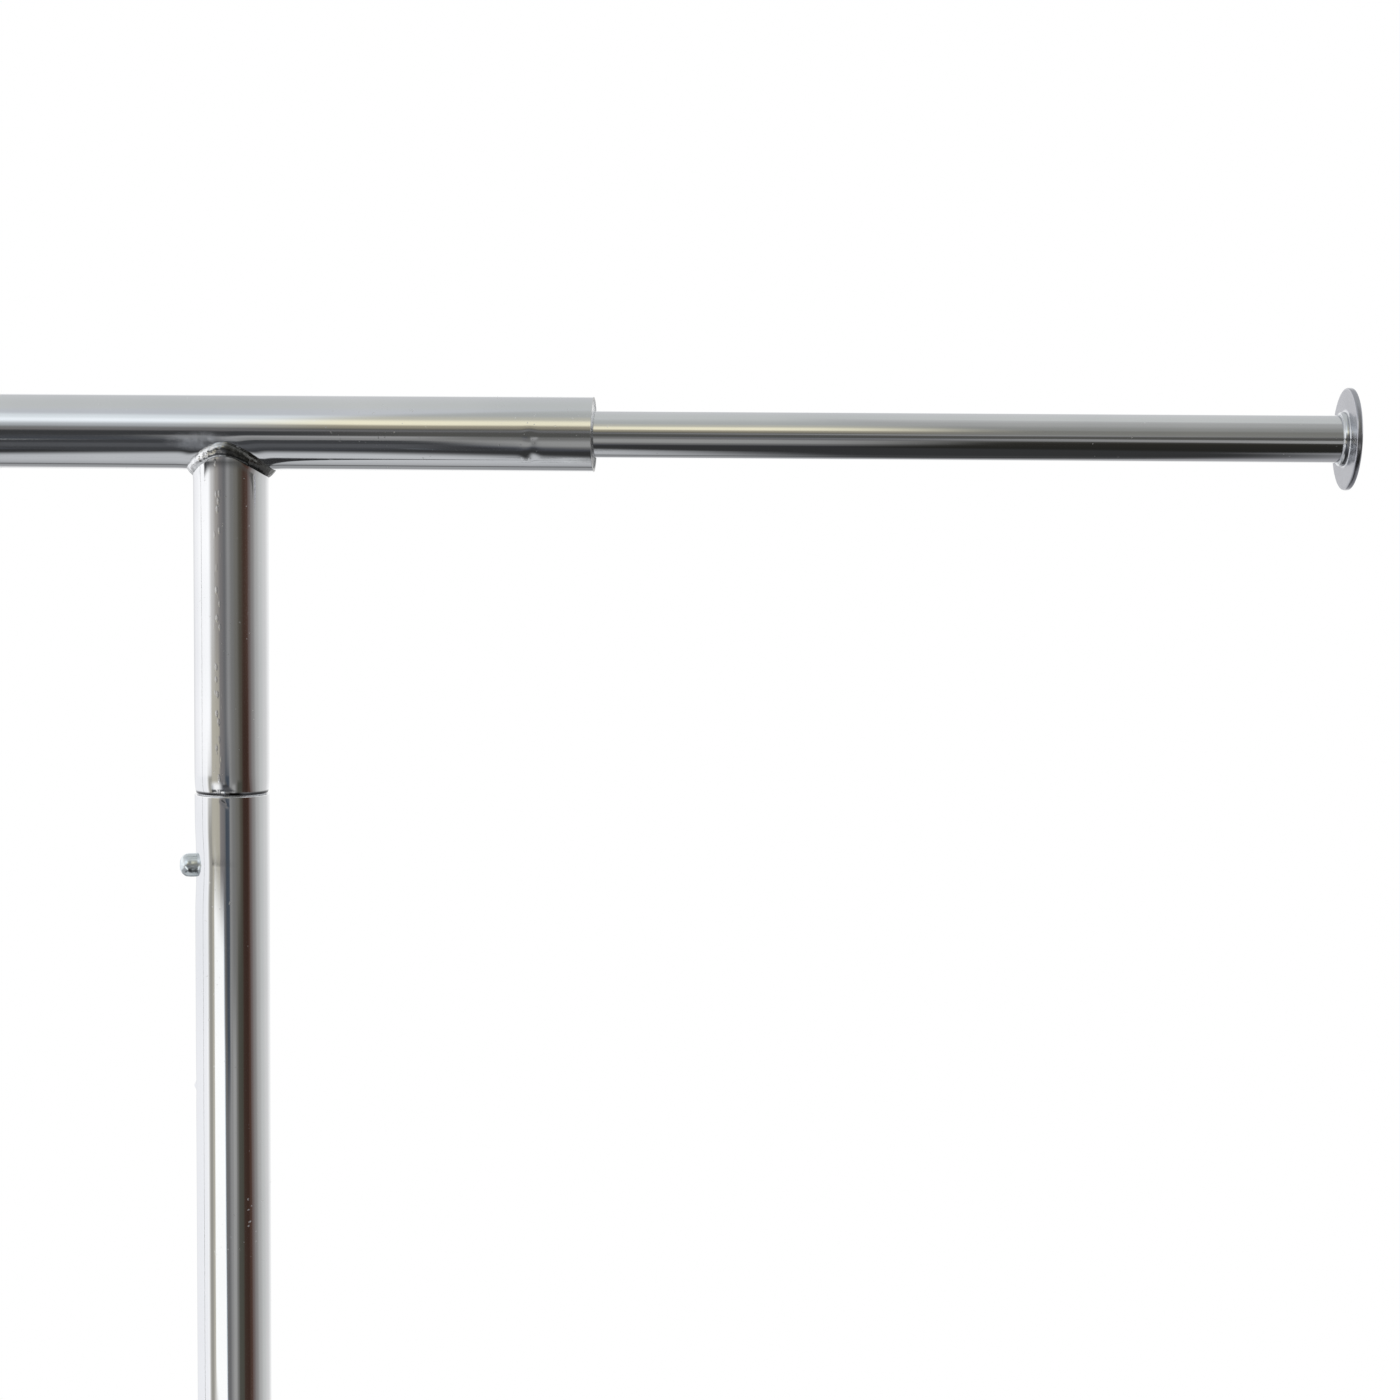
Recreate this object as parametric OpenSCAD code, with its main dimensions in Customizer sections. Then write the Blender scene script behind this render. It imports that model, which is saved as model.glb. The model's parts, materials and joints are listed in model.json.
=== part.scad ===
/* [Tubes] */
// Outer diameter of the hang rail, the tees, the posts and the feet
tube_od = 32; // [28:0.5:38]
// Wall of those tubes
tube_wall = 1.5; // [1.2:0.1:1.8]
// Radial clearance of a tube that slides or turns inside another
slide_fit = 0.08; // [0.03:0.01:0.1]
// Radius that takes the sharpness off a tube's cut edges
edge_r = 0.4; // [0.2:0.1:0.6]

/* [Hang rail] */
// Distance between the axes of the two posts
post_gap = 1216; // [900:4:1500]
// How far the rail runs on past each post's axis
rail_overhang = 157; // [100:1:220]

/* [Tee joints] */
// From the rail's axis down to the seam at the tee's lower end
stub_l = 156; // [110:1:220]
// From a foot's axis up to the seam at the foot tee's upper end
foot_stub_l = 70; // [60:1:110]
// Radius of the rolled-in edge at a tee's free end
roll_r = 1.2; // [0.8:0.1:1.4]
// Open seam between a tee and its post
seam = 0.5; // [0.3:0.1:1]
// How far short of the crossing tube's axis the saddle's tips are blunted
tip_cut = 7; // [6:0.5:9]
// Width of the weld bead along the tee's saddle
bead_w = 6; // [5:0.2:8]
// How far the weld bead stands out at the saddle's tips
bead_h = 1.4; // [1:0.1:2]

/* [Sleeves] */
// Wall of the sleeves inside the seams
sleeve_wall = 1.5; // [1.2:0.1:2]
// Length of a sleeve that is fixed inside the upper tee
sleeve_in_tee = 80; // [50:1:85]
// Length of the upper sleeve that plugs into the post
sleeve_in_post = 150; // [110:1:220]
// Length of the foot's sleeve that stands up in the post
foot_sleeve_in_post = 96; // [80:1:110]
// Length of the foot's sleeve that is fixed inside the foot tee
foot_sleeve_in_tee = 46; // [30:1:50]

/* [Snap buttons] */
// Diameter of a snap button
button_d = 10.4; // [8:0.2:12]
// How far the button stands out of the post
button_out = 6.5; // [4:0.5:8]
// From the upper seam down to the button's axis
button_below = 31; // [24:1:36]
// Turn of the button from the rack's middle towards the front
button_turn = 12; // [0:1:20]
// From the button down to the punched pip on the post
pip_below = 97; // [60:1:120]
// Diameter of that pip
pip_d = 4; // [3:0.5:5]
// Height of that pip
pip_h = 0.8; // [0.5:0.1:1]

/* [Extension rods] */
// Outer diameter of a pull-out rod
rod_od = 20; // [16:0.5:22]
// Wall of a pull-out rod
rod_wall = 1.5; // [1:0.1:2]
// Visible length of a rod that is pulled right out
rod_reach = 318; // [200:1:400]
// Diameter of the stop disk at the rod's outer end
disk_d = 43; // [36:1:54]
// Thickness of that disk
disk_t = 2.5; // [2:0.1:4]
// Length of the guide bush in the rail's mouth
bush_l = 36; // [30:1:50]
// How far the bush sits inside the rail's mouth
bush_inset = 0.5; // [0.5:0.1:2]
// From the rail's end to the crimps that hold the bush
crimp_from_end = 26; // [10:1:28]
// Width of one crimp
crimp_d = 6; // [4:0.5:6.5]
// Length of the glide at the rod's inner end
glide_l = 20; // [14:1:30]

/* [Posts] */
// Length of a post from seam to seam
post_l = 1314; // [1100:2:1500]

/* [Stretcher] */
// Outer diameter of the low stretcher
stretcher_od = 25; // [20:0.5:28]
// Wall of the stretcher
stretcher_wall = 1.2; // [1:0.1:1.6]
// From the lower seam up to the stretcher's axis
stretcher_up = 122; // [116:1:200]
// Thread diameter of the stretcher's bolts
bolt_d = 6; // [5:1:8]
// Length of the threaded plug in each end of the stretcher
plug_l = 30; // [22:1:45]

/* [Clamp knobs] */
// From the lower seam up to a clamp knob's axis
knob_up = 45; // [35:1:60]
// Diameter of a clamp knob
knob_d = 36; // [28:1:42]
// Height of a clamp knob
knob_h = 22; // [16:1:28]
// Thread diameter of the knob's stud
stud_d = 8; // [6:1:8]
// Depth of the groove that the stud's point runs in
groove_depth = 1; // [0.6:0.1:1.2]

/* [Feet] */
// Length of a foot's tube
foot_l = 560; // [440:5:680]
// From the end of a foot's tube to its caster's axis
caster_inset = 38; // [30:1:60]
// Depth of a foot's end cap outside the tube
cap_out = 5; // [3:0.5:8]

/* [Casters] */
// Diameter of a caster's wheel
wheel_d = 75; // [65:1:80]
// Width of the tread
tread_w = 24; // [18:1:26]
// From the floor up to the underside of the foot's tube
caster_h = 100; // [97:1:120]
// How far the wheel trails behind the swivel's axis
trail = 22; // [16:1:26]
// Space between the fork's cheeks
fork_gap = 30; // [29:0.5:34]
// Thickness of the fork's sheet
fork_t = 2.5; // [2:0.1:3]
// Diameter of a wheel's axle
axle_d = 8; // [6:1:8]
// Diameter of a caster's stem
stem_d = 10; // [8:1:12]
// Turn of a brake pedal from free to braked
brake_turn = 25; // [20:1:30]

/* [Hidden] */
$fn = 96;

// Sides and ends of the rack
RIGHT = 1;
LEFT = -1;
FRONT = -1;
BACK = 1;
SIDES = [LEFT, RIGHT];
ENDS = [FRONT, BACK];

// Gap that keeps two pieces that move past each other apart
clear = 0.3;
// Radial clearance of an axle or pin in its bore
pin_fit = 0.05;
// Clearance of a bolt in a plain hole
bolt_fit = 0.2;
// How far a cutting shape runs past what it cuts
past = 1;

tube_r = tube_od / 2;
bore_r = tube_r - tube_wall;
sleeve_r = bore_r - slide_fit;
sleeve_bore_r = sleeve_r - sleeve_wall;

// Heights of the feet, the seams and the rail
foot_z = caster_h + tube_r;
low_seam_z = foot_z + foot_stub_l;
post_z = low_seam_z + seam;
top_seam_z = post_z + post_l;
rail_z = top_seam_z + seam + stub_l;
button_z = top_seam_z - button_below;
knob_z = post_z + knob_up;
stretcher_z = post_z + stretcher_up;

post_x = post_gap / 2;
rail_end_x = post_x + rail_overhang;

// The rounded outer corner of a flat profile, in the quarter above and right of its centre
module corner(r) {
    intersection() {
        circle(r, $fn = 48);
        square(r);
    }
}

// A tube along +Z from 0 to l, its outer edges eased by a radius at each end
module tube(l, r, wall, low_r = edge_r, high_r = edge_r) {
    rotate_extrude() {
        translate([r - wall, low_r]) square([wall, l - low_r - high_r]);
        translate([r - wall, 0]) square([wall - low_r, low_r]);
        translate([r - low_r, low_r]) mirror([0, 1]) corner(low_r);
        translate([r - wall, l - high_r]) square([wall - high_r, high_r]);
        translate([r - high_r, l - high_r]) corner(high_r);
    }
}

// A low dome on +Z with its foot at 0
module dome(r, h) {
    ball_r = (pow(r, 2) + pow(h, 2)) / (2 * h);
    rotate_extrude() intersection() {
        translate([0, h - ball_r]) circle(ball_r);
        square([r, h]);
    }
}

// A straight cylinder along +X that starts at x
module bar_x(x, r, l) {
    translate([x, 0, 0]) rotate([0, 90, 0]) cylinder(r = r, h = l);
}

// A straight cylinder along Y, centred on its middle
module bar_y(r, l) {
    rotate([90, 0, 0]) cylinder(r = r, h = l, center = true);
}

// What is drawn for the right side stands mirrored on the left
module on_side(side) {
    if (side == RIGHT) children();
    else mirror([1, 0, 0]) children();
}

// A flat link round two circles: both circles and the band between their tangents
function rim(c, r, turn) = c + r * [cos(turn), sin(turn)];
module link(a, ra, b, rb) {
    d = b - a;
    way = atan2(d.y, d.x);
    open = acos((ra - rb) / norm(d));
    translate(a) circle(ra);
    translate(b) circle(rb);
    polygon([
        rim(a, ra, way + open),
        rim(a, ra, way - open),
        rim(b, rb, way - open),
        rim(b, rb, way + open)
    ]);
}

// Tee joints. Each is drawn round a crossing tube along X, with its stub hanging down.

module stub(l) {
    difference() {
        translate([0, 0, -l]) tube(l, tube_r, tube_wall, low_r = roll_r);
        translate([-tube_od, -tube_od, -tip_cut]) cube([2 * tube_od, 2 * tube_od, tube_od]);
        bar_x(-tube_od, tube_r, 2 * tube_od);
    }
}

// The weld bead is one section swept once round the saddle. Its middle runs from the crossing
// tube's underside, at the stub's sides, up to the blunted tips at front and back. At the sides
// the section is a flat-faced fillet, and at the tips a low flat band.
bead_steps = 72;
bead_sides = 12;
bead_sunk = 0.9;
bead_tip = tip_cut + bead_h;
bead_fillet = 1.2;
bead_band = 2.6;
function bead_bulge(v, t) =
    sign(v) * pow(abs(v), 2 / (bead_fillet + (bead_band - bead_fillet) * pow(sin(t), 2)));
function bead_mid(t) = [
    tube_r - bead_sunk * pow(sin(t), 2),
    -sqrt((pow(tube_r, 2) - pow(bead_tip, 2)) * pow(cos(t), 2) + pow(bead_tip, 2))
];
function bead_point(t, s) =
    let (
        mid = bead_mid(t),
        reach = bead_sunk + bead_h + (bead_w / 2 - bead_sunk - bead_h) * pow(cos(t), 2),
        r = mid[0] + reach * bead_bulge(cos(s), t),
        z = mid[1] + bead_w / 2 * (1 + 0.1 * pow(cos(t), 2)) * bead_bulge(sin(s), t)
    )
    [r * cos(t), r * sin(t), z];

module weld_bead() {
    // The tubes are cut out a hair wide, so that their faceted outline stays clear of the real ones
    cut_r = tube_r / cos(180 / $fn);
    points = [
        for (i = [0 : bead_steps - 1], j = [0 : bead_sides - 1])
            bead_point(i * 360 / bead_steps, j * 360 / bead_sides)
    ];
    function at(i, j) = (i % bead_steps) * bead_sides + j % bead_sides;
    quads = [
        for (i = [0 : bead_steps - 1], j = [0 : bead_sides - 1])
            [at(i, j), at(i, j + 1), at(i + 1, j + 1), at(i + 1, j)]
    ];
    difference() {
        polyhedron(points, quads, convexity = 6);
        bar_x(-tube_od, cut_r, 2 * tube_od);
        translate([0, 0, -tube_od]) cylinder(r = cut_r, h = 2 * tube_od);
    }
}

// A sleeve along +Z, with a lead-in at its free upper or lower end
lead_in = 1;
module sleeve_tube(l) {
    rotate_extrude() {
        polygon([
            [sleeve_bore_r, 0],
            [sleeve_r - lead_in / 2, 0],
            [sleeve_r, lead_in],
            [sleeve_r, l],
            [sleeve_bore_r, l]
        ]);
    }
}

// Hang rail, its tees and what they hold

crimp_deep = 1;
crimp_ball_r = (pow(crimp_d / 2, 2) + pow(crimp_deep, 2)) / (2 * crimp_deep);
// The crimps stand opposite each other, one low at the front and one high at the back
crimp_turns = [40, 220];

// The inner and outer face of the two punched crimps near the rail's end
module at_crimps() {
    for (turn = crimp_turns) {
        translate([rail_end_x - crimp_from_end, 0, 0])
            rotate([turn, 0, 0])
                translate([0, -(tube_r - crimp_deep + crimp_ball_r), 0])
                    children();
    }
}

module hang_rail() color("gainsboro") translate([0, 0, rail_z]) {
    difference() {
        union() {
            translate([-rail_end_x, 0, 0])
                rotate([0, 90, 0])
                    tube(2 * rail_end_x, tube_r, tube_wall);
            // What each crimp pushes into the bore
            intersection() {
                union() {
                    for (side = SIDES) on_side(side) at_crimps() sphere(crimp_ball_r + tube_wall);
                }
                bar_x(-rail_end_x + edge_r, tube_r - tube_wall / 2, 2 * (rail_end_x - edge_r));
            }
        }
        for (side = SIDES) on_side(side) at_crimps() sphere(crimp_ball_r);
    }
}

module tee_stub(side) color("gainsboro") on_side(side) translate([post_x, 0, rail_z]) stub(stub_l);

module tee_weld(side) color("silver") on_side(side) translate([post_x, 0, rail_z]) weld_bead();

// Brings a button's own frame, with +X out of the post, to its place on the right post
module at_button() {
    translate([post_x, 0, button_z]) rotate([0, 0, 180 + button_turn]) children();
}

button_r = button_d / 2;
flange_t = 1;
flange_lip = 1.4;
flange_r = button_r + flange_lip;
flange_x = sqrt(pow(sleeve_bore_r, 2) - pow(flange_r, 2)) - clear;
strip_t = 0.8;
strip_w = 9;

module top_sleeve(side) color("silver") on_side(side) {
    difference() {
        translate([post_x, 0, top_seam_z - sleeve_in_post])
            sleeve_tube(sleeve_in_post + seam + sleeve_in_tee);
        at_button() bar_x(0, button_r + slide_fit, tube_od);
    }
}

// The button has a flange inside the sleeve, a straight shank and a domed end
module snap_button(side) color("lightgray") on_side(side) at_button() rotate([0, 90, 0]) {
    dome_h = button_r * 0.8;
    dome_z = tube_r + button_out - dome_h;
    translate([0, 0, flange_x - flange_t]) cylinder(r = flange_r, h = flange_t);
    translate([0, 0, flange_x]) cylinder(r = button_r, h = dome_z - flange_x);
    translate([0, 0, dome_z]) dome(button_r, dome_h);
}

// A spring strip folded into a V: one leg behind the button, the other on the sleeve's far side
module snap_spring(side) color("dimgray") on_side(side) at_button() {
    near_x = flange_x - flange_t;
    far_x = -sqrt(pow(sleeve_bore_r, 2) - pow(strip_w / 2, 2)) + clear;
    top_z = button_r;
    // How far the strip's fold hangs below the button's axis
    fold_z = -47;
    fold_r = 4;
    mid_x = (near_x + far_x) / 2;
    rotate([90, 0, 0]) translate([0, 0, -strip_w / 2]) linear_extrude(strip_w) {
        difference() {
            translate([mid_x, fold_z]) circle(fold_r);
            translate([mid_x, fold_z]) circle(fold_r - strip_t);
            translate([mid_x - fold_r - past, fold_z]) square([2 * (fold_r + past), fold_r + past]);
        }
        polygon([
            [mid_x + fold_r, fold_z],
            [near_x, -button_r],
            [near_x, top_z],
            [near_x - strip_t, top_z],
            [near_x - strip_t, -button_r],
            [mid_x + fold_r - strip_t, fold_z]
        ]);
        polygon([
            [mid_x - fold_r, fold_z],
            [far_x, -button_r],
            [far_x, top_z],
            [far_x + strip_t, top_z],
            [far_x + strip_t, -button_r],
            [mid_x - fold_r + strip_t, fold_z]
        ]);
    }
}

// Extension rods. Each is drawn on the right, pulled right out.

bush_r = bore_r - pin_fit;
bush_bore_r = rod_od / 2 + slide_fit;
bush_groove = crimp_deep + clear;
bush_out_x = rail_end_x - bush_inset;
bush_in_x = bush_out_x - bush_l;
glide_x = bush_in_x - clear - glide_l;
rod_past_glide = 4;
rod_in_x = glide_x - rod_past_glide;
rod_out_x = rail_end_x + rod_reach;

module rod_bush(side) color("dimgray") on_side(side)
translate([bush_in_x, 0, rail_z]) rotate([0, 90, 0]) {
    groove_at = rail_end_x - crimp_from_end - bush_in_x;
    groove_w = crimp_d + 2;
    rotate_extrude() {
        difference() {
            translate([bush_bore_r, 0]) square([bush_r - bush_bore_r, bush_l]);
            translate([bush_r - bush_groove, groove_at - groove_w / 2])
                square([bush_groove + past, groove_w]);
        }
    }
}

module extension_rod(side) color("gainsboro") on_side(side)
translate([rod_in_x, 0, rail_z]) rotate([0, 90, 0])
    tube(rod_out_x - rod_in_x, rod_od / 2, rod_wall, high_r = edge_r / 2);

// The stop disk has eased rims and a small weld fillet round the rod
module end_disk(side) color("lightgray") on_side(side)
translate([rod_out_x, 0, rail_z]) rotate([0, 90, 0]) {
    rim_r = disk_t * 0.3;
    fillet = 1.6;
    rotate_extrude() {
        square([disk_d / 2 - rim_r, disk_t]);
        translate([0, rim_r]) square([disk_d / 2, disk_t - 2 * rim_r]);
        translate([disk_d / 2 - rim_r, disk_t - rim_r]) corner(rim_r);
        translate([disk_d / 2 - rim_r, rim_r]) mirror([0, 1]) corner(rim_r);
        difference() {
            translate([rod_od / 2, -fillet]) square([fillet, fillet]);
            translate([rod_od / 2 + fillet, -fillet]) circle(fillet, $fn = 48);
        }
    }
}

module rod_glide(side) color("dimgray") on_side(side)
translate([glide_x, 0, rail_z]) rotate([0, 90, 0]) {
    relief = 1;
    land = glide_l / 4;
    rotate_extrude() {
        translate([rod_od / 2, 0]) square([sleeve_r - relief - rod_od / 2, glide_l]);
        for (z = [0, glide_l - land]) translate([rod_od / 2, z]) square([sleeve_r - rod_od / 2, land]);
    }
}

// Posts and stretcher

module post(side) color("gainsboro") on_side(side) {
    pip_ball_r = (pow(pip_d / 2, 2) + pow(pip_h, 2)) / (2 * pip_h);
    difference() {
        union() {
            translate([post_x, 0, post_z]) tube(post_l, tube_r, tube_wall);
            at_button() intersection() {
                translate([tube_r + pip_h - pip_ball_r, 0, -pip_below]) sphere(pip_ball_r);
                translate([bore_r + tube_wall / 2, -pip_d, -pip_below - pip_d]) cube(2 * pip_d);
            }
        }
        at_button() bar_x(0, button_r + clear, tube_od);
        translate([post_x, 0, knob_z]) bar_x(0, stud_d / 2 + bolt_fit, tube_od);
        translate([post_x, 0, stretcher_z]) bar_x(-tube_od, bolt_d / 2 + bolt_fit, 2 * tube_od);
    }
}

module post_cope(r) {
    for (side = SIDES) {
        translate([side * post_x, 0, stretcher_z - tube_od]) cylinder(r = r, h = 2 * tube_od);
    }
}

stretcher_bore_r = stretcher_od / 2 - stretcher_wall;
cope_fit = 0.1;
module stretcher() color("gainsboro") {
    difference() {
        translate([0, 0, stretcher_z]) {
            difference() {
                bar_x(-post_x, stretcher_od / 2, 2 * post_x);
                bar_x(-post_x - past, stretcher_bore_r, 2 * (post_x + past));
            }
        }
        post_cope(tube_r + cope_fit);
    }
}

// Threaded plugs pressed into the stretcher's ends, coped like them
module stretcher_plugs() color("dimgray") for (side = SIDES) on_side(side) {
    plug_x = post_x - tube_r - plug_l;
    difference() {
        translate([0, 0, stretcher_z]) {
            difference() {
                bar_x(plug_x, stretcher_bore_r - pin_fit, plug_l + tube_r);
                bar_x(plug_x - past, bolt_d / 2 + pin_fit, plug_l + tube_r + past);
            }
        }
        post_cope(tube_r + clear);
    }
}

// Washers with one face hollowed to sit on the post
washer_r = 8;
washer_t = 3;
module saddle_washers() color("gainsboro") for (side = SIDES) on_side(side) {
    difference() {
        translate([post_x, 0, stretcher_z]) bar_x(0, washer_r, tube_r + washer_t);
        post_cope(tube_r);
        translate([post_x, 0, stretcher_z]) bar_x(-past, bolt_d / 2 + bolt_fit, tube_od);
    }
}

// Button-head bolts with a socket, one into each end of the stretcher
module stretcher_bolts() color("silver") for (side = SIDES) on_side(side) {
    head_h = bolt_d * 0.6;
    head_x = post_x + tube_r + washer_t;
    shank_l = tube_od + plug_l;
    translate([head_x, 0, stretcher_z]) rotate([0, 90, 0]) {
        translate([0, 0, -shank_l]) cylinder(r = bolt_d / 2, h = shank_l);
        difference() {
            dome(bolt_d, head_h);
            translate([0, 0, head_h / 3]) cylinder(r = bolt_d / 3, h = head_h, $fn = 6);
        }
    }
}

// Threaded bosses welded to the posts' outer sides for the clamp knobs
boss_r = 8;
boss_out = 9;
module knob_bosses() color("gainsboro") for (side = SIDES) on_side(side) {
    difference() {
        translate([post_x, 0, knob_z]) bar_x(0, boss_r, tube_r + boss_out);
        translate([post_x, 0, knob_z - tube_od]) cylinder(r = tube_r, h = 2 * tube_od);
        translate([post_x, 0, knob_z]) bar_x(-past, stud_d / 2 + pin_fit, tube_od + boss_out);
    }
}

// A lobed hand knob on a stud whose point runs in the foot sleeve's groove
module clamp_knob(side) color("black") on_side(side) translate([post_x, 0, knob_z]) {
    stud_x = sleeve_r - groove_depth + clear;
    boss_gap = 2;
    head_x = tube_r + boss_out + boss_gap;
    neck_r = knob_d * 0.28;
    neck_h = knob_h * 0.3;
    lobes = 6;
    lobe_cut_r = knob_d * 0.16;
    lobe_cut_at = knob_d * 0.58;
    round_r = 4;
    bar_x(stud_x, stud_d / 2, head_x - stud_x + past);
    translate([head_x, 0, 0]) rotate([0, 90, 0]) {
        cylinder(r = neck_r, h = neck_h);
        intersection() {
            translate([0, 0, neck_h]) linear_extrude(knob_h - neck_h) difference() {
                circle(knob_d / 2);
                for (i = [0 : lobes - 1]) {
                    rotate(i * 360 / lobes) translate([lobe_cut_at, 0]) circle(lobe_cut_r);
                }
            }
            rotate_extrude() {
                square([knob_d / 2, knob_h - round_r]);
                square([knob_d / 2 - round_r, knob_h]);
                translate([knob_d / 2 - round_r, knob_h - round_r]) circle(round_r);
            }
        }
    }
}

// Feet. Each is a tube along Y that turns about its post's axis.

caster_y = foot_l / 2 - caster_inset;
stem_fit = 0.1;

module foot_tube(side) color("gainsboro") on_side(side) translate([post_x, 0, foot_z]) {
    difference() {
        translate([0, -foot_l / 2, 0]) rotate([-90, 0, 0]) tube(foot_l, tube_r, tube_wall);
        for (end = ENDS) {
            translate([0, end * caster_y, -tube_od]) cylinder(r = stem_d / 2 + stem_fit, h = tube_od);
        }
    }
}

module foot_stub(side) color("gainsboro") on_side(side)
    translate([post_x, 0, foot_z]) rotate([180, 0, 90]) stub(foot_stub_l);

module foot_weld(side) color("silver") on_side(side)
    translate([post_x, 0, foot_z]) rotate([180, 0, 90]) weld_bead();

// The foot's sleeve has a rolled groove for the clamp knob's point
module foot_sleeve(side) color("silver") on_side(side) translate([post_x, 0, low_seam_z]) {
    // The groove's flat floor is 1 mm wider than the stud on each side, and its flanks slope
    groove_half = stud_d / 2 + 1;
    slope = groove_depth * 2;
    groove_z = knob_z - low_seam_z;
    low = -foot_sleeve_in_tee;
    high = seam + foot_sleeve_in_post;
    wave = [
        [0, low],
        [0, groove_z - groove_half - slope],
        [groove_depth, groove_z - groove_half],
        [groove_depth, groove_z + groove_half],
        [0, groove_z + groove_half + slope],
        [0, high - lead_in]
    ];
    rotate_extrude() polygon([
        for (p = wave) [sleeve_r - p[0], p[1]],
        [sleeve_r - lead_in / 2, high],
        [sleeve_bore_r, high],
        for (i = [len(wave) - 2 : -1 : 0]) [sleeve_bore_r - wave[i][0], wave[i][1]]
    ]);
}

// Push-in end caps, flat on their face and rounded at its rim
module foot_caps(side) color("black") on_side(side) translate([post_x, 0, foot_z]) for (end = ENDS) {
    plug = 14;
    cap_wall = 2;
    round_r = cap_out * 0.6;
    translate([0, end * foot_l / 2, 0]) rotate([-90 * end, 0, 0]) rotate_extrude() {
        translate([bore_r - pin_fit - cap_wall, -plug]) square([cap_wall, plug + past]);
        square([tube_r - round_r, cap_out]);
        square([tube_r, cap_out - round_r]);
        translate([tube_r - round_r, cap_out - round_r]) corner(round_r);
    }
}

// Casters. Each is drawn with its swivel's axis on Z, its wheel trailing along -X.

wheel_r = wheel_d / 2;
axle_at = [-trail, wheel_r];
// Height of the swivel head, from the fork's top plate to the foot's tube
head_h = 13.5;
fork_top_z = caster_h - head_h;
race_h = 4.5;
race_r = 20;
king_r = stem_d / 2 + 1;
hex_h = 5.7;
fork_half = fork_gap / 2 + fork_t;
// The brake's pin, measured from the wheel's axle
brake_back = 28;
brake_up = 32.5;
brake_at = [-trail - brake_back, wheel_r + brake_up];
brake_pin_r = 2.5;
ear_r = 6;

module at_caster(side, end) {
    translate([side * post_x, end * caster_y, 0]) children();
}

// Stem, hexagon, upper race and riveted king-pin, all fixed to the foot
module caster_stems(side) color("silver") for (end = ENDS) at_caster(side, end) {
    race_low = fork_top_z + race_h + clear;
    race_t = caster_h - hex_h - race_low;
    race_flat_r = race_r - 1.5;
    rivet_r = king_r + 3.5;
    rivet_h = 3;
    rivet_z = fork_top_z - fork_t - clear - rivet_h;
    stem_l = tube_r + 2;
    translate([0, 0, caster_h - past]) cylinder(r = stem_d / 2, h = stem_l + past);
    translate([0, 0, caster_h - hex_h]) cylinder(r = stem_d * 0.9, h = hex_h, $fn = 6);
    translate([0, 0, race_low]) rotate_extrude() {
        square([race_flat_r, race_t]);
        translate([race_flat_r, race_t / 2]) circle(race_t / 2);
    }
    translate([0, 0, rivet_z]) cylinder(r = rivet_r, h = rivet_h);
    translate([0, 0, rivet_z]) cylinder(r = king_r, h = race_low + race_t / 2 - rivet_z);
}

// Weld nuts inside the foot's tube that hold the stems
module stem_nuts(side) color("silver") for (end = ENDS) at_caster(side, end) {
    nut_r = stem_d * 0.95;
    nut_z = foot_z - sqrt(pow(bore_r, 2) - pow(nut_r, 2)) + pin_fit;
    difference() {
        translate([0, 0, nut_z]) cylinder(r = nut_r, h = stem_d * 0.7, $fn = 6);
        translate([0, 0, nut_z - past]) cylinder(r = stem_d / 2 + pin_fit, h = stem_d);
    }
}

// The flat outline of one cheek, with its rounded upper corners and its axle eye
module cheek(braked) {
    shoulder_r = 6.5;
    front = [8, fork_top_z - shoulder_r];
    rear = [-10, fork_top_z - shoulder_r];
    eye_r = 9;
    difference() {
        union() {
            link(axle_at, eye_r, front, shoulder_r);
            link(axle_at, eye_r, rear, shoulder_r);
            link(front, shoulder_r, rear, shoulder_r);
            polygon([axle_at, front, rear]);
            if (braked) {
                link(rear, shoulder_r, brake_at, ear_r);
                link(axle_at, eye_r * 0.6, brake_at, ear_r * 0.8);
                polygon([axle_at, rear, brake_at]);
            }
        }
        translate(axle_at) circle(axle_d / 2 + pin_fit);
        if (braked) translate(brake_at) circle(brake_pin_r + pin_fit);
    }
}

// A pressed fork: two raked cheeks, a top plate and the raised lower race
module fork(side, end, braked) color("silver") at_caster(side, end) {
    plate_r = fork_half + 4;
    race_taper = 3;
    difference() {
        union() {
            for (y = [-fork_half, fork_gap / 2]) {
                translate([0, y + fork_t, 0]) rotate([90, 0, 0]) linear_extrude(fork_t) cheek(braked);
            }
            intersection() {
                translate([0, 0, fork_top_z - fork_t]) cylinder(r = plate_r, h = fork_t);
                translate([-plate_r, -fork_half, 0]) cube([2 * plate_r, 2 * fork_half, caster_h]);
            }
            translate([0, 0, fork_top_z - fork_t / 2])
                cylinder(r1 = fork_half, r2 = fork_half - race_taper, h = race_h + fork_t / 2);
        }
        translate([0, 0, fork_top_z - 2 * fork_t]) cylinder(r = king_r + pin_fit, h = race_h + 3 * fork_t);
    }
}

// The wheel's axle is a bolt and nut through both cheeks
module axle(side, end) color("silver") at_caster(side, end) {
    hex_r = axle_d * 0.9;
    bolt_head_h = axle_d * 0.55;
    nut_h = axle_d * 0.8;
    tail = 2;
    nut_end = fork_half + nut_h + tail;
    translate([axle_at.x, 0, axle_at.y]) rotate([90, 0, 0]) {
        translate([0, 0, -nut_end]) cylinder(r = axle_d / 2, h = nut_end + fork_half + past);
        translate([0, 0, fork_half]) cylinder(r = hex_r, h = bolt_head_h, $fn = 6);
        translate([0, 0, -fork_half - nut_h]) cylinder(r = hex_r, h = nut_h, $fn = 6);
    }
}

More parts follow.
